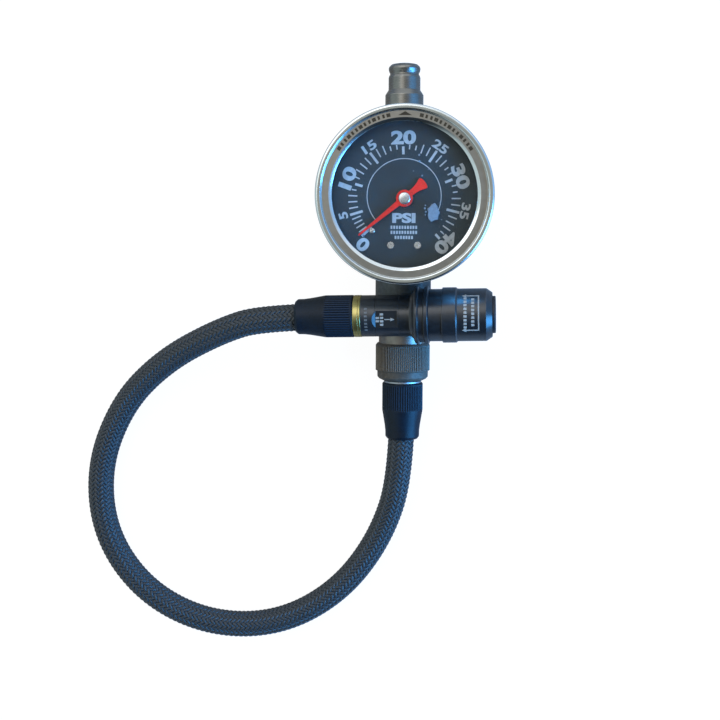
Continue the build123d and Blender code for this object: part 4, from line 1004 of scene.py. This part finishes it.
def make_dial():
    """The dial's print: ticks, numerals, the thin ring and the unit."""
    level = DIAL_FACE
    hub = HUB + Vector((0, 0, level))
    settle(
        marks("dial_ticks", dial_ticks(), hub, 0.08, "dial print"), "dial print", "manifold", "dial_black"
    )
    height = settings("gauge").numeral_height / MM
    numbers = []
    for body, turn, reach, width, large in NUMERALS:
        tall, thick = (height, 0.045) if large else (3.5, 0.03)
        number = lettering("numeral_" + body, body, width, tall, thick)
        t = math.radians(turn)
        spot = hub + Vector((math.cos(t), math.sin(t), 0)) * reach * MM
        spot.z = level + 0.04 * MM
        number.data.transform(Matrix.Translation(spot) @ Matrix.Rotation(t - math.pi / 2, 4, "Z"))
        numbers.append(number)
    unit = lettering("unit", "PSI", 9.0, 3.9, 0.05)
    unit.data.transform(Matrix.Translation((UNIT_X, GAUGE_Y - 8.76 * MM, level + 0.04 * MM)))
    numbers.append(unit)
    for k, (row, count) in enumerate(((-12.35, 10), (-14.3, 10), (-16.25, 7))):
        for j in range(count):
            outline = bar((j - (count - 1) / 2) * 1.06, row, 0.36, 0.62)
            small = plate("small_bar%d_%d" % (k, j), outline, level / MM, level / MM + 0.06)
            small.data.transform(Matrix.Translation((UNIT_X, GAUGE_Y, 0)))
            numbers.append(small)
    settle(joined("dial_numerals", numbers), "dial print", "manifold", "dial_black")
    centre = (-0.13, GAUGE_Y / MM - 0.35)
    arc = arc_points(14.45, 224, -28, 120, centre) + arc_points(14.15, -28, 224, 120, centre)
    ring = plate("dial_ring", arc, level / MM, level / MM + 0.06)
    settle(ring, "dial print", "manifold", "dial_black")


# Bubbles under the window whose pale finish is painted reflection: x, y and radius in mm.
BUBBLE_GLINTS = [
    (5.5, 15.1, 0.45), (5.6, 12.8, 0.4), (6.7, 7.3, 0.3), (9.0, 9.6, 0.22), (3.4, 9.0, 0.2),
    (8.0, -4.0, 0.32),
    (7.8, -5.2, 0.4), (8.2, -6.4, 0.35), (8.0, -7.6, 0.28), (13.6, -3.0, 0.3), (14.2, -9.4, 0.25),
    (-15.6, -15.6, 0.4), (-9.3, 14.2, 0.2), (1.0, -3.9, 0.2),
]


FLAT_BUBBLE_GLINT = [3.1, 2.5, 2.9, 3.5, 3.0, 2.5, 2.9, 2.3, 2.8, 3.3, 3.6, 3.0, 3.5, 2.7]


def make_bubble_glints():
    """Bubbles of air in the gauge's fill, just under the window, whose pale opaque finish is a painted reflection:
    one flat bubble and a scatter of small ones.
    """
    parts = []
    for k, (x, y, radius) in enumerate(BUBBLE_GLINTS):
        shell = bmesh.new()
        bmesh.ops.create_icosphere(shell, subdivisions=3, radius=radius * MM)
        bubble = from_shape("bubble%d" % k, shell)
        bubble.data.polygons.foreach_set("use_smooth", [True] * len(bubble.data.polygons))
        bubble.data.transform(Matrix.Translation((x * MM, GAUGE_Y + y * MM, (39.95 - radius) * MM)))
        parts.append(bubble)
    outline = []
    for k, r in enumerate(FLAT_BUBBLE_GLINT):
        turn = 2 * math.pi * k / len(FLAT_BUBBLE_GLINT)
        outline.append((11.0 + 0.85 * r * math.cos(turn), -6.6 + 1.05 * r * math.sin(turn)))
    flat = plate("bubble_flat", outline, 39.2, 39.9, 0.3)
    flat.data.transform(Matrix.Translation((0, GAUGE_Y, 0)))
    settle(joined("fill_bubble_glints", parts + [flat]), "bubble glint", "manifold", "window_glass")


POINTER_REST = math.radians(218.8)


def make_pointer():
    """The red hand with its fan-shaped tail and disc."""
    upper = [
        (22.4, 0.35), (3.0, 1.05), (-4.0, 1.12), (-5.2, 1.22), (-6.5, 1.47), (-7.6, 1.8), (-8.6, 2.2),
        (-9.1, 2.38), (-9.5, 2.25), (-9.85, 1.6), (-10.05, 0.8),
    ]
    outline = upper + [(x, -y) for x, y in reversed(upper)]
    hand = plate("hand", outline + [(22.9, 0.0)], 1.2, 1.8, 0.16)
    round_plate = [(0, 1.15, 0), (3.25, 1.15, 0.05), (3.25, 1.9, 0.25), (0, 1.9, 0)]
    disc = turned("disc", round_plate, Matrix.Identity(4), 64)
    rest = Matrix.Translation(HUB + Vector((0, 0, DIAL_FACE))) @ Matrix.Rotation(POINTER_REST, 4, "Z")
    both = joined("pointer_hand", [hand, disc])
    both.data.transform(rest)
    settle(both, "pointer red", "pointer", "pointer_red", "pointer")
    dome = [(0, 1.8, 0), (2.35, 1.8, 0.05), (2.35, 2.75, 0.6), (0, 3.2, 0)]
    cap = turned("cap_dome", dome, Matrix.Identity(4), 64)
    cap.data.transform(rest)
    settle(cap, "cap silver", "pointer", "cap_silver", "pointer_cap")


HEAD_RADIUS = 1.35


def make_fasteners():
    """The two slotted screws of the dial and the round head of the pointer's stop pin."""
    parts = []
    base = [(0, 0, 0), (HEAD_RADIUS, 0, 0.05), (HEAD_RADIUS, 0.4, 0.1), (0, 0.4, 0)]
    for side in (-1, 1):
        halves = [turned("screw_base%d" % side, base, Matrix.Identity(4), 48)]
        for half in (0, 180):
            outline = arc_points(HEAD_RADIUS, half + 12, half + 168, 18)
            halves.append(plate("screw_half%d_%d" % (side, half), outline, 0.35, 0.85, 0.12))
        screw = joined("screw%d" % side, halves)
        spot = Vector((side * 5.2 * MM, GAUGE_Y - 19.25 * MM, DIAL_FACE))
        screw.data.transform(Matrix.Translation(spot) @ Matrix.Rotation(math.radians(side * 40.0), 4, "Z"))
        parts.append(screw)
    settle(joined("screw_heads", parts), "cap silver", "manifold", "cap_silver", "dial_screws")
    domed = [(0, 0, 0), (1.1, 0, 0.05), (1.1, 0.5, 0.3), (0, 0.8, 0)]
    pin = turned("pin_head", domed, Matrix.Identity(4), 48)
    pin.data.transform(Matrix.Translation(Vector((-12.4 * MM, GAUGE_Y - 13.7 * MM, DIAL_FACE))))
    settle(pin, "cap silver", "manifold", "cap_silver")
    dress("cap silver", "stop_pin")


BAND_INNER = 29.0
BAND_OUTER = 31.7
BAND_LEVEL = 43.45


def make_bezel():
    """The polished ring with its rolled rim, flat band and inner lip, and the marks on the band."""
    g = settings("gauge")
    rim, lip = g.bezel_radius / MM, g.lip_radius / MM
    section = [
        (31.8, 34.0, 0.1),
        (rim, 34.0, 0.5),
        (rim, 44.7, 1.9),
        (31.95, 44.7, 0.7),
        (31.75, BAND_LEVEL, 0.25),
        (BAND_INNER, BAND_LEVEL, 0.3),
        (28.4, 43.24, 0.25),
        (lip, 42.97, 0.3),
        (lip, 42.0, 0.1),
        (31.8, 42.0, 0.05),
    ]
    bezel = turned("bezel_ring", section, GAUGE, 256, 6)
    settle(bezel, "bezel steel", "manifold", "bezel_steel", "gauge_bezel")
    # The flat band gets the band finish, whose brown tint is a painted reflection.
    bezel.data.materials.append(finish_of("band steel"))
    for face in bezel.data.polygons:
        reach = (face.center - Vector((0, GAUGE_Y, face.center.z))).length
        if face.normal.z > 0.99 and BAND_INNER * MM < reach < BAND_OUTER * MM:
            face.material_index = 1
    rows = []
    for side in (-1, 1):
        rows += [(90 + side * (12 + 3.6 * k), 29.6, 31.0, 0.9 if k % 3 else 1.5) for k in range(13)]
    centre = (0.0, GAUGE_Y, BAND_LEVEL * MM)
    dashes = marks("bezel_dashes", rows, centre, 0.03, "etched mark")
    triangle = [(-2.6, 29.7), (2.6, 29.7), (0.0, 31.2)]
    arrow = plate("bezel_arrow", triangle, BAND_LEVEL, BAND_LEVEL + 0.03)
    arrow.data.transform(Matrix.Translation((0, GAUGE_Y, 0)))
    settle(joined("bezel_marks", [dashes, arrow]), "etched mark", "manifold", "bezel_steel")


def make_gauge():
    """Case, window, dial, pointer and bezel."""
    case = [
        (6.55, 16.0, 0.1), (31.75, 16.0, 3.0), (31.75, 39.0, 0.1), (30.75, 39.0, 0.1),
        (30.75, 17.0, 2.0), (6.55, 17.0, 0.1),
    ]
    settle(turned("case_cup", case, GAUGE, 192), "case steel", "manifold", "case_steel", "gauge_case")
    window = [(0, 40.2, 0), (31.1, 40.2, 0.1), (31.1, 42.0, 0.3), (0, 42.0, 0)]
    pane = turned("window_pane", window, GAUGE, 192)
    settle(pane, "window glass", "manifold", "window_glass", "gauge_window")
    make_bezel()
    dress("dial paint", "gauge_dial")
    make_dial()
    make_bubble_glints()
    make_pointer()
    make_fasteners()
    dress("seal rubber", "window_gasket", "fill_plug")
    dress(
        "movement brass", "gauge_socket", "connection_nut", "bourdon_tube", "tube_tip_block",
        "movement_frame", "sector_gear", "link_bar", "dial_posts",
    )
    dress("spring steel", "pointer_arbor")


# Air column, collar and plug


def make_manifold():
    """The air column, inlet plug, vent stem and knurled vent collar."""
    m = settings("manifold")
    column = [
        (0, -14.0, 0), (10.4, -14.0, 0.2), (11.6, -15.2, 0.3), (11.6, -96.6, 0.25), (10.7, -97.5, 0.2),
        (10.7, -99.0, 0.2), (0, -99.0, 0),
    ]
    body = turned("column_body", column, COLUMN, 160)
    raised = [(0, 0.0, 0), (11.0, 0.0, 0.1), (11.0, 13.8, 0.8), (0, 13.8, 0)]
    boss = turned("column_boss", raised, GAUGE, 128)
    settle(body, "column aluminium", "manifold", "column_black", "air_column")
    settle(boss, "column aluminium", "manifold", "column_black")
    plug = [
        (2.2, 7.0, 0.1), (2.2, 7.7, 0.25), (3.6, 7.7, 0.4), (5.4, 7.35, 1.2), (6.4, 6.3, 0.8),
        (6.55, 5.5, 0.4), (6.38, 4.6, 0.5), (5.95, 3.7, 0.2), (5.95, 3.05, 0.15), (6.25, 2.9, 0.15),
        (6.55, 2.0, 0.3), (6.55, -3.0, 0.4), (7.87, -5.0, 0.6), (7.87, -14.0, 0.2), (3.2, -14.0, 0.1),
        (3.2, 6.1, 0.1),
    ]
    tip = turned("plug_body", plug, COLUMN, 128)
    settle(tip, "plug gunmetal", "manifold", "plug_gunmetal", "inlet_plug")
    collar = [(10.18, -107.4, 0.1), (10.7, -107.4, 0.3), (11.4, -108.3, 0.5)]
    collar += [(11.4, y, 0.05) for y in (-108.9, -109.3, -117.7, -118.1, -118.5)]
    collar += [
        (11.4, -118.8, 0.1), (10.7, -119.15, 0.15), (10.65, -121.6, 0.3), (9.9, -122.4, 0.4),
        (8.5, -123.1, 0.2), (7.08, -123.1, 0.1), (7.08, -118.8, 0.05), (10.18, -118.8, 0.05),
    ]
    ring = turned("collar_ring", collar, segments=8 * m.knurl_count, steps=2)
    tree = bpy.data.node_groups.get("Ribbed Surface") or ribbed_tree()
    grown(
        ring, tree, Ribs=m.knurl_count, Depth=m.knurl_depth, Groove_Share=0.78, Start=-0.1187, End=-0.1082,
        Fade=0.0004, Least_Radius=0.0109, Material=finish_of("collar aluminium"),
    )
    ring.data.transform(COLUMN)
    settle(ring, "collar aluminium", "collar", "collar_grey", "vent_collar")
    dress("stem nickel", "vent_stem")
    dress("ring nickel", "collar_retainer")
    dress("seal rubber", "upper_collar_seal", "lower_collar_seal")
    dress("movement brass", "inlet_poppet", "poppet_guide")
    coil("poppet_coil", "poppet_spring")
    dress("spring steel", "lower_ferrule")


# Hose and boots


def boot(name, top, place, node):
    """A ribbed boot from its ribbed end at a station in mm, towards smaller stations."""
    h = settings("hose")
    section = [(6.65, top, 0.1), (8.1, top, 0.2), (8.55, top - 0.5, 0.3)]
    section += [(8.55, top - d, 0.05) for d in (0.9, 1.3, 1.7, 10.6, 11.0, 11.4)]
    section += [
        (8.5, top - 12.0, 2.5), (7.5, top - 18.0, 4.0), (7.2, top - 20.6, 1.2), (7.15, top - 23.0, 0.4),
        (6.4, top - 24.0, 0.3), (5.58, top - 24.0, 0.1), (5.58, top - 17.0, 0.05), (6.65, top - 17.0, 0.05),
    ]
    cover = turned(name, section, segments=8 * h.rib_count, steps=3)
    tree = bpy.data.node_groups.get("Ribbed Surface") or ribbed_tree()
    grown(
        cover, tree, Ribs=h.rib_count, Depth=0.00036, Groove_Share=0.7, Start=(top - 11.9) * MM,
        End=(top - 0.6) * MM, Fade=0.0012, Least_Radius=0.0083, Material=finish_of("boot rubber"),
    )
    cover.data.transform(place)
    settle(cover, "boot rubber", "manifold", "boot_rubber", node)


def hose_line():
    """The points along the route's NURBS spline."""
    curve = bpy.data.curves.new("hose_route", "CURVE")
    curve.dimensions = "3D"
    curve.resolution_u = 16
    spline = curve.splines.new("NURBS")
    spline.points.add(len(HOSE_ROUTE) - 1)
    for point, place in zip(spline.points, HOSE_ROUTE):
        point.co = (*place, 1.0)
    spline.order_u = 3
    spline.use_endpoint_u = True
    carrier = linked("hose_route", curve)
    mesh = bpy.data.meshes.new_from_object(carrier)
    points = [v.co.copy() for v in mesh.vertices]
    bpy.data.objects.remove(carrier)
    bpy.data.meshes.remove(mesh)
    return points


def tube_along(name, points, radius, sides=32):
    """A closed tube of one radius whose rings stand on the points."""
    shape = bmesh.new()
    across = Vector((1, 0, 0))
    rings = []
    for i, point in enumerate(points):
        along = (points[min(i + 1, len(points) - 1)] - points[max(i - 1, 0)]).normalized()
        across = (across - across.dot(along) * along).normalized()
        up = along.cross(across)
        rings.append(
            [
                shape.verts.new(point + (across * math.cos(t) + up * math.sin(t)) * radius)
                for t in np.arange(sides) * 2 * math.pi / sides
            ]
        )
    for a, b in zip(rings, rings[1:]):
        for k in range(sides):
            m = (k + 1) % sides
            shape.faces.new((a[k], a[m], b[m], b[k])).smooth = True
    shape.faces.new(rings[0][::-1])
    shape.faces.new(rings[-1])
    bmesh.ops.recalc_face_normals(shape, faces=shape.faces)
    return from_shape(name, shape)


def make_hose():
    """The braided hose and the two boots at its ends."""
    h = settings("hose")
    points = hose_line()
    core = tube_along("hose_core", points, 0.45 * h.diameter)
    settle(core, "hose core", "manifold", "hose_braid", "air_hose")
    length = sum((b - a).length for a, b in zip(points, points[1:]))
    tree = bpy.data.node_groups.get("Braided Sleeve") or braid_tree()
    for hand, name in ((1.0, "hose_braid_right"), (-1.0, "hose_braid_left")):
        route = bpy.data.curves.new(name, "CURVE")
        route.dimensions = "3D"
        spline = route.splines.new("POLY")
        spline.points.add(len(points) - 1)
        for point, place in zip(spline.points, points):
            point.co = (*place, 1.0)
        strands = braided(name, route, tree, hand, h, length)
        settle(strands, "hose yarn", "manifold", "hose_braid")
    boot("lower_boot_cover", -124.1, COLUMN, "lower_boot")
    boot("chuck_boot_cover", -19.75, CHUCK, "chuck_boot")
    dress("spring steel", "chuck_ferrule")


def braided(name, route, tree, hand, h, length):
    """One hand of the braid as a plain mesh object."""
    carrier = linked(name + "_route", route)
    values = {
        "Strands": h.strands,
        "Hand": hand,
        "Pitch": h.pitch,
        "Radius": 0.457 * h.diameter,
        "Weave": 0.00024,
        "Strand Width": 0.00138,
        "Strand Thickness": 0.00062,
        "Samples": int(length / h.pitch * h.strands * 4),
        "Seed": 4 if hand > 0 else 9,
        "Material": finish_of("hose yarn"),
    }
    mesh = tree_mesh(carrier, tree, values)
    bpy.data.objects.remove(carrier)
    mesh.polygons.foreach_set("use_smooth", [True] * len(mesh.polygons))
    return linked(name, mesh)


# Valve chuck

FLAT_HEADING = 97.6
FLAT_DEPTH = 0.75
FLAT_START = -10.4
FLAT_END = -1.8
FLAT_RAMP = 1.6
FLAT_REACH = -12.2


def mill_flat(piece, radius):
    """Presses the milled flat into the barrel: its floor, and the ramp at its hose end."""
    spots = np.zeros(len(piece.data.vertices) * 3, np.float32)
    piece.data.vertices.foreach_get("co", spots)
    back = np.array(CHUCK.inverted())
    own = spots.reshape(-1, 3) @ back[:3, :3].T + back[:3, 3]
    turn = math.radians(FLAT_HEADING)
    out = np.array((math.cos(turn), math.sin(turn), 0.0))
    height = own @ out / MM
    station = own[:, 2] / MM
    rise = np.clip((FLAT_START - station) / FLAT_RAMP, 0, 1) * FLAT_DEPTH
    limit = np.where(station > FLAT_END, np.inf, radius - FLAT_DEPTH + rise)
    over = np.maximum(height - limit, 0) * (station > FLAT_REACH)
    own -= out * over[:, None] * MM
    here = np.array(CHUCK)
    piece.data.vertices.foreach_set("co", (own @ here[:3, :3].T + here[:3, 3]).astype(np.float32).ravel())
    kept = np.array([c.vector for c in piece.data.corner_normals])
    corners = np.zeros(len(piece.data.loops), np.int32)
    piece.data.loops.foreach_get("vertex_index", corners)
    moved = (over > 0)[corners]
    ramped = (station < FLAT_START)[corners]
    floor_way = here[:3, :3] @ out
    ramp_way = here[:3, :3] @ (out * FLAT_RAMP + np.array((0.0, 0.0, FLAT_DEPTH)))
    ramp_way /= np.linalg.norm(ramp_way)
    kept[moved & ~ramped] = floor_way
    kept[moved & ramped] = ramp_way
    piece.data.normals_split_custom_set(kept.tolist())


def flat_dashes(name, rows, height):
    """Short bars in place of words on a flat: rows of (station, half width, count) in mm."""
    bars = []
    for station, reach, count in rows:
        for k in range(count):
            d = -reach + 2 * reach * (k + 0.5) / count
            w = 0.32 * 2 * reach / count
            outline = bar(d, station + height / 2, w, height / 2)
            bars.append(plate(name + str(len(bars)), outline, 0.02, 0.05))
    return joined(name, bars)


def make_chuck():
    """The chuck's barrel, flange, band, sleeve, nose and brass ring, with their plain marks."""
    c = settings("chuck")
    r = c.barrel_radius / MM
    brass = [
        (5.4, -19.75, 0.1), (8.5, -19.75, 0.25), (8.5, -17.8, 0.1), (8.34, -17.72, 0.05),
        (8.34, -17.58, 0.05), (8.5, -17.5, 0.1), (8.5, -16.7, 0.25), (5.4, -16.7, 0.1),
    ]
    ring = turned("brass_ring", brass, CHUCK, 128)
    settle(ring, "ring brass", "manifold", "fitting_brass", "brass_fitting")
    barrel = [(5.45, -16.7, 0.1), (r, -16.7, 0.3)] + [(r, -12.7 + 0.1 * k, 0.01) for k in range(17)]
    for seam in (-10.9, -1.45):
        barrel += [(r, seam, 0.04), (r - 0.15, seam + 0.05, 0.03)]
        barrel += [(r - 0.15, seam + 0.2, 0.03), (r, seam + 0.25, 0.04)]
        if seam < -2:
            barrel += [(r, seam + 0.35 + 0.2 * k, 0.01) for k in range(45)]
    barrel += [
        (r, 3.1, 1.2), (9.2, 4.06, 0.3), (11.19, 4.9, 0.35), (11.65, 5.5, 0.2), (11.65, 6.25, 0.15),
        (10.8, 6.6, 0.15), (10.8, 8.55, 0.15), (11.65, 8.9, 0.15), (11.65, 10.25, 0.2), (10.7, 10.6, 0.15),
        (7.05, 10.6, 0.1),
        (7.05, 3.1, 0.1), (3.0, 3.1, 0.1), (3.0, -8.6, 0.05), (5.45, -8.6, 0.05),
    ]
    shell = turned("barrel_shell", barrel, CHUCK, 280, 3)
    mill_flat(shell, r)
    settle(shell, "chuck aluminium", "manifold", "chuck_black", "chuck_barrel")
    housing = [
        (4.1, 33.85, 0.2), (4.1, 26.05, 0.05), (4.5, 26.05, 0.05), (4.5, 22.55, 0.05), (3.0, 22.55, 0.05),
        (3.0, 3.15, 0.05), (7.0, 3.15, 0.05), (7.0, 10.6, 0.05), (10.5, 10.6, 0.1), (10.5, 16.6, 0.3),
        (8.6, 16.6, 0.1), (8.6, 33.85, 0.2),
    ]
    band = turned("band_shell", housing, CHUCK, 160)
    settle(band, "chuck aluminium", "manifold", "chuck_black", "chuck_housing")
    sleeve = [
        (10.58, 15.9, 0.1), (11.1, 15.9, 0.25), (11.1, 21.4, 0.3), (10.55, 21.9, 0.3), (10.55, 33.4, 0.5),
        (8.9, 35.75, 0.12), (8.68, 35.75, 0.08), (8.68, 33.15, 0.05), (9.63, 33.15, 0.05),
        (9.63, 30.35, 0.05),
        (8.68, 30.35, 0.05), (8.68, 27.35, 0.05), (9.7, 27.35, 0.05), (9.7, 20.9, 0.05), (10.58, 20.9, 0.05),
    ]
    cover = turned("sleeve_shell", sleeve, CHUCK, 160)
    settle(cover, "chuck aluminium", "sleeve", "chuck_black", "release_sleeve")
    nose = [
        (4.1, 33.85, 0.1), (8.45, 33.85, 0.1), (8.45, 35.35, 0.2), (7.45, 35.35, 0.1), (7.45, 37.05, 0.5),
        (4.1, 37.05, 0.4),
    ]
    settle(turned("nose_ring", nose, CHUCK, 128), "seal rubber", "manifold", "seal_rubber", "nose_seal")
    facing = Matrix.Rotation(math.radians(FLAT_HEADING - 90), 4, "Z")
    flat = CHUCK @ facing @ Matrix.Translation((0, (r - FLAT_DEPTH) * MM, 0))
    # Painted shade: a darker, matte plate over the whole milled flat, under the print.
    patch = plate("barrel_flat_shade", [(-3.3, -10.3), (3.3, -10.3), (3.3, -2.0), (-3.3, -2.0)], 0.0, 0.02)
    arrow = plate(
        "barrel_arrow",
        [(-0.2, -6.9), (0.2, -6.9), (0.2, -4.5), (0.7, -4.5), (0.0, -2.9), (-0.7, -4.5), (-0.2, -4.5)],
        0.02, 0.05,
    )
    words = flat_dashes("barrel_words", [(-8.7, 2.8, 4), (-9.5 - 0.9, 1.3, 2)], 1.35)
    for mark, finish in ((patch, "chuck flat shade"), (joined("barrel_marks", [arrow, words]), "chuck print")):
        laid = flat @ Matrix.Rotation(math.radians(-90), 4, "X") @ Matrix.Scale(-1, 4, (0, 1, 0))
        mark.data.transform(laid)
        mark.data.flip_normals()
        settle(mark, finish, "manifold", "chuck_black")
    ring = [bar(-14.4, d, 0.6, 0.4) for d in np.arange(-4.5, 4.6, 1.5)]
    settle(
        wrapped("barrel_ring_words", ring, r, CHUCK, FLAT_HEADING, 0.04),
        "faint print", "manifold", "chuck_black",
    )
    bracket = [
        [(30.2, -7.6), (30.7, -7.6), (30.7, 7.6), (30.2, 7.6)],
        [(25.6, 7.1), (30.2, 7.1), (30.2, 7.6), (25.6, 7.6)],
        [(25.6, -7.6), (30.2, -7.6), (30.2, -7.1), (25.6, -7.1)],
        [(25.6, 6.5), (25.6, 8.2), (23.9, 7.35)],
        [(25.6, -8.2), (25.6, -6.5), (23.9, -7.35)],
    ]
    for station, reach in ((27.6, 5.5), (24.6, 6.0)):
        bracket += [bar(station + 0.6, d, 0.6, 0.5) for d in np.arange(-reach, reach + 0.1, 1.5)]
    settle(
        wrapped("sleeve_bracket", bracket, 10.55, CHUCK, 81.4, 0.04),
        "chuck print", "sleeve", "chuck_black",
    )
    coil("sleeve_coil", "sleeve_spring")
    dress("ball steel", "grip_balls")
    dress("seal rubber", "valve_washer")
    dress("movement brass", "core_pin")


# Stage

FLOOR_REACH = 3.0
CAMERA_PLACE = (-0.00354580, -0.06231131, 0.5)
CAMERA_RIGHT = Vector((0.99956846, 0.00283037, -0.02923833))
CAMERA_UP = Vector((-0.00587052, 0.99451569, -0.1044226))


def make_stage():
    """White floor, soft lights, surroundings and the camera."""
    floor_mesh = bpy.data.meshes.new("floor")
    corners = [(x, y, CAD_BOX[0].z) for x, y in bar(0.0, 0.0, FLOOR_REACH, FLOOR_REACH)]
    floor_mesh.from_pydata(corners, [], [(0, 1, 2, 3)])
    floor = linked("floor", floor_mesh)
    material, tree, shader = new_material("floor white", (0.9, 0.9, 0.9), Roughness=0.9)
    path = add(tree, "ShaderNodeLightPath").outputs
    grey = blend_colours(tree, path["Is Camera Ray"], (0.4, 0.39, 0.37), (0.9, 0.9, 0.9))
    feed(tree, shader.inputs["Base Color"], grey)
    mirrored = times(tree, path["Is Glossy Ray"], 0.12)
    through = calc(tree, "MAXIMUM", mirrored, path["Is Transmission Ray"])
    seen = calc(tree, "MAXIMUM", path["Is Camera Ray"], through)
    glow = add(tree, "ShaderNodeEmission", {"Color": (1, 1, 1, 1), "Strength": 1.1})
    parts = {0: times(tree, seen, 0.86), 1: shader.outputs[0], 2: glow.outputs[0]}
    mixed = add(tree, "ShaderNodeMixShader", parts)
    feed(tree, tree.nodes["Material Output"].inputs["Surface"], mixed.outputs[0])
    floor_mesh.materials.append(material)
    make_world()
    soft_light("window_light", (0.75, -0.36, 0.42), (0.0, -0.14, 0.0), (0.45, 0.75), 16.0, (0.07, 0.4, 1.0))
    soft_light("top_light", (-0.3, 0.35, 0.85), (0.0, -0.08, 0.0), (0.7, 0.7), 1.6, (1.0, 0.97, 0.93))
    camera_data = bpy.data.cameras.new("camera")
    camera_data.sensor_width = 36.0
    camera_data.lens = 59.5
    camera_data.clip_start = 0.01
    camera = bpy.data.objects.new("camera", camera_data)
    facing = Matrix((CAMERA_RIGHT, CAMERA_UP, CAMERA_RIGHT.cross(CAMERA_UP)))
    camera.matrix_world = facing.transposed().to_4x4()
    camera.location = CAMERA_PLACE
    bpy.context.scene.collection.objects.link(camera)
    bpy.context.scene.camera = camera
    bpy.context.scene.view_settings.view_transform = "Standard"


def soft_light(name, place, target, size, power, colour):
    """A soft light, its width and height given, that looks at a target."""
    data = bpy.data.lights.new(name, "AREA")
    data.shape = "RECTANGLE"
    data.size, data.size_y = size
    data.energy = power
    data.color = colour
    light = bpy.data.objects.new(name, data)
    light.location = place
    light.rotation_euler = (Vector(target) - Vector(place)).to_track_quat("-Z", "Y").to_euler()
    bpy.context.scene.collection.objects.link(light)


# The room's sides: the axis that each lies on, where it starts and is full, and its colour
WALLS = (
    (1, -0.05, -0.45, (0.02, 0.025, 0.03)),
    (0, -0.2, -0.6, (0.62, 0.76, 0.8)),
    (1, 0.14, 0.45, (0.95, 1.05, 1.15)),
    (0, 0.35, 0.8, (0.3, 0.64, 1.2)),
    (2, 0.93, 0.995, (0.34, 0.36, 0.34)),
)


def make_world():
    """Plain surroundings: white to the camera, and a room with a window on the right to all else."""
    world = bpy.data.worlds.new("room")
    bpy.context.scene.world = world
    world.use_nodes = True
    tree = world.node_tree
    way = parts_of(tree, add(tree, "ShaderNodeTexCoord").outputs["Generated"])
    colour = (0.42, 0.44, 0.46)
    for axis, low, high, wall in WALLS:
        colour = blend_colours(tree, ramp(tree, way[axis], low, high), colour, wall)
    path = add(tree, "ShaderNodeLightPath").outputs
    shown = blend_colours(tree, path["Is Camera Ray"], colour, (1, 1, 1))
    background = tree.nodes["Background"]
    feed(tree, background.inputs["Color"], shown)
    background.inputs["Strength"].default_value = 1.0


# Operators, panel and registration


class DEFLATOR_OT_gauge(bpy.types.Operator):
    """Builds the gauge's case, window, bezel, dial and pointer"""

    bl_idname = "deflator.gauge"
    bl_label = "Gauge"

    def execute(self, context):
        make_gauge()
        return {"FINISHED"}


class DEFLATOR_OT_manifold(bpy.types.Operator):
    """Builds the air column, inlet plug and vent collar"""

    bl_idname = "deflator.manifold"
    bl_label = "Air Column"

    def execute(self, context):
        make_manifold()
        return {"FINISHED"}


class DEFLATOR_OT_hose(bpy.types.Operator):
    """Builds the braided hose and its boots"""

    bl_idname = "deflator.hose"
    bl_label = "Hose"

    def execute(self, context):
        make_hose()
        return {"FINISHED"}


class DEFLATOR_OT_chuck(bpy.types.Operator):
    """Builds the valve chuck"""

    bl_idname = "deflator.chuck"
    bl_label = "Valve Chuck"

    def execute(self, context):
        make_chuck()
        return {"FINISHED"}


class DEFLATOR_OT_stage(bpy.types.Operator):
    """Builds the floor, lights, surroundings and camera"""

    bl_idname = "deflator.stage"
    bl_label = "Stage"

    def execute(self, context):
        make_stage()
        return {"FINISHED"}


OPERATORS = (
    DEFLATOR_OT_stage,
    DEFLATOR_OT_hose,
    DEFLATOR_OT_gauge,
    DEFLATOR_OT_manifold,
    DEFLATOR_OT_chuck,
)
GROUPS = {
    "gauge": GaugeSettings,
    "manifold": ManifoldSettings,
    "hose": HoseSettings,
    "chuck": ChuckSettings,
}


class DEFLATOR_PT_panel(bpy.types.Panel):
    """Lists the deflator's pieces and their settings"""

    bl_label = "Tyre Deflator"
    bl_space_type = "VIEW_3D"
    bl_region_type = "UI"
    bl_category = "Deflator"

    def draw(self, context):
        for operator in OPERATORS:
            self.layout.operator(operator.bl_idname)
        for name, group in GROUPS.items():
            box = self.layout.box()
            for key in group.__annotations__:
                box.prop(getattr(context.scene, "deflator_" + name), key)


def register():
    for group in GROUPS.values():
        bpy.utils.register_class(group)
    for name, group in GROUPS.items():
        setattr(bpy.types.Scene, "deflator_" + name, PointerProperty(type=group))
    for cls in (*OPERATORS, DEFLATOR_PT_panel):
        bpy.utils.register_class(cls)


def unregister():
    for cls in (DEFLATOR_PT_panel, *reversed(OPERATORS)):
        bpy.utils.unregister_class(cls)
    for name, group in GROUPS.items():
        delattr(bpy.types.Scene, "deflator_" + name)
        bpy.utils.unregister_class(group)


def main():
    """Builds every piece."""
    register()
    for operator in OPERATORS:
        group, name = operator.bl_idname.split(".")
        getattr(getattr(bpy.ops, group), name)()


if __name__ == "__main__":
    main()
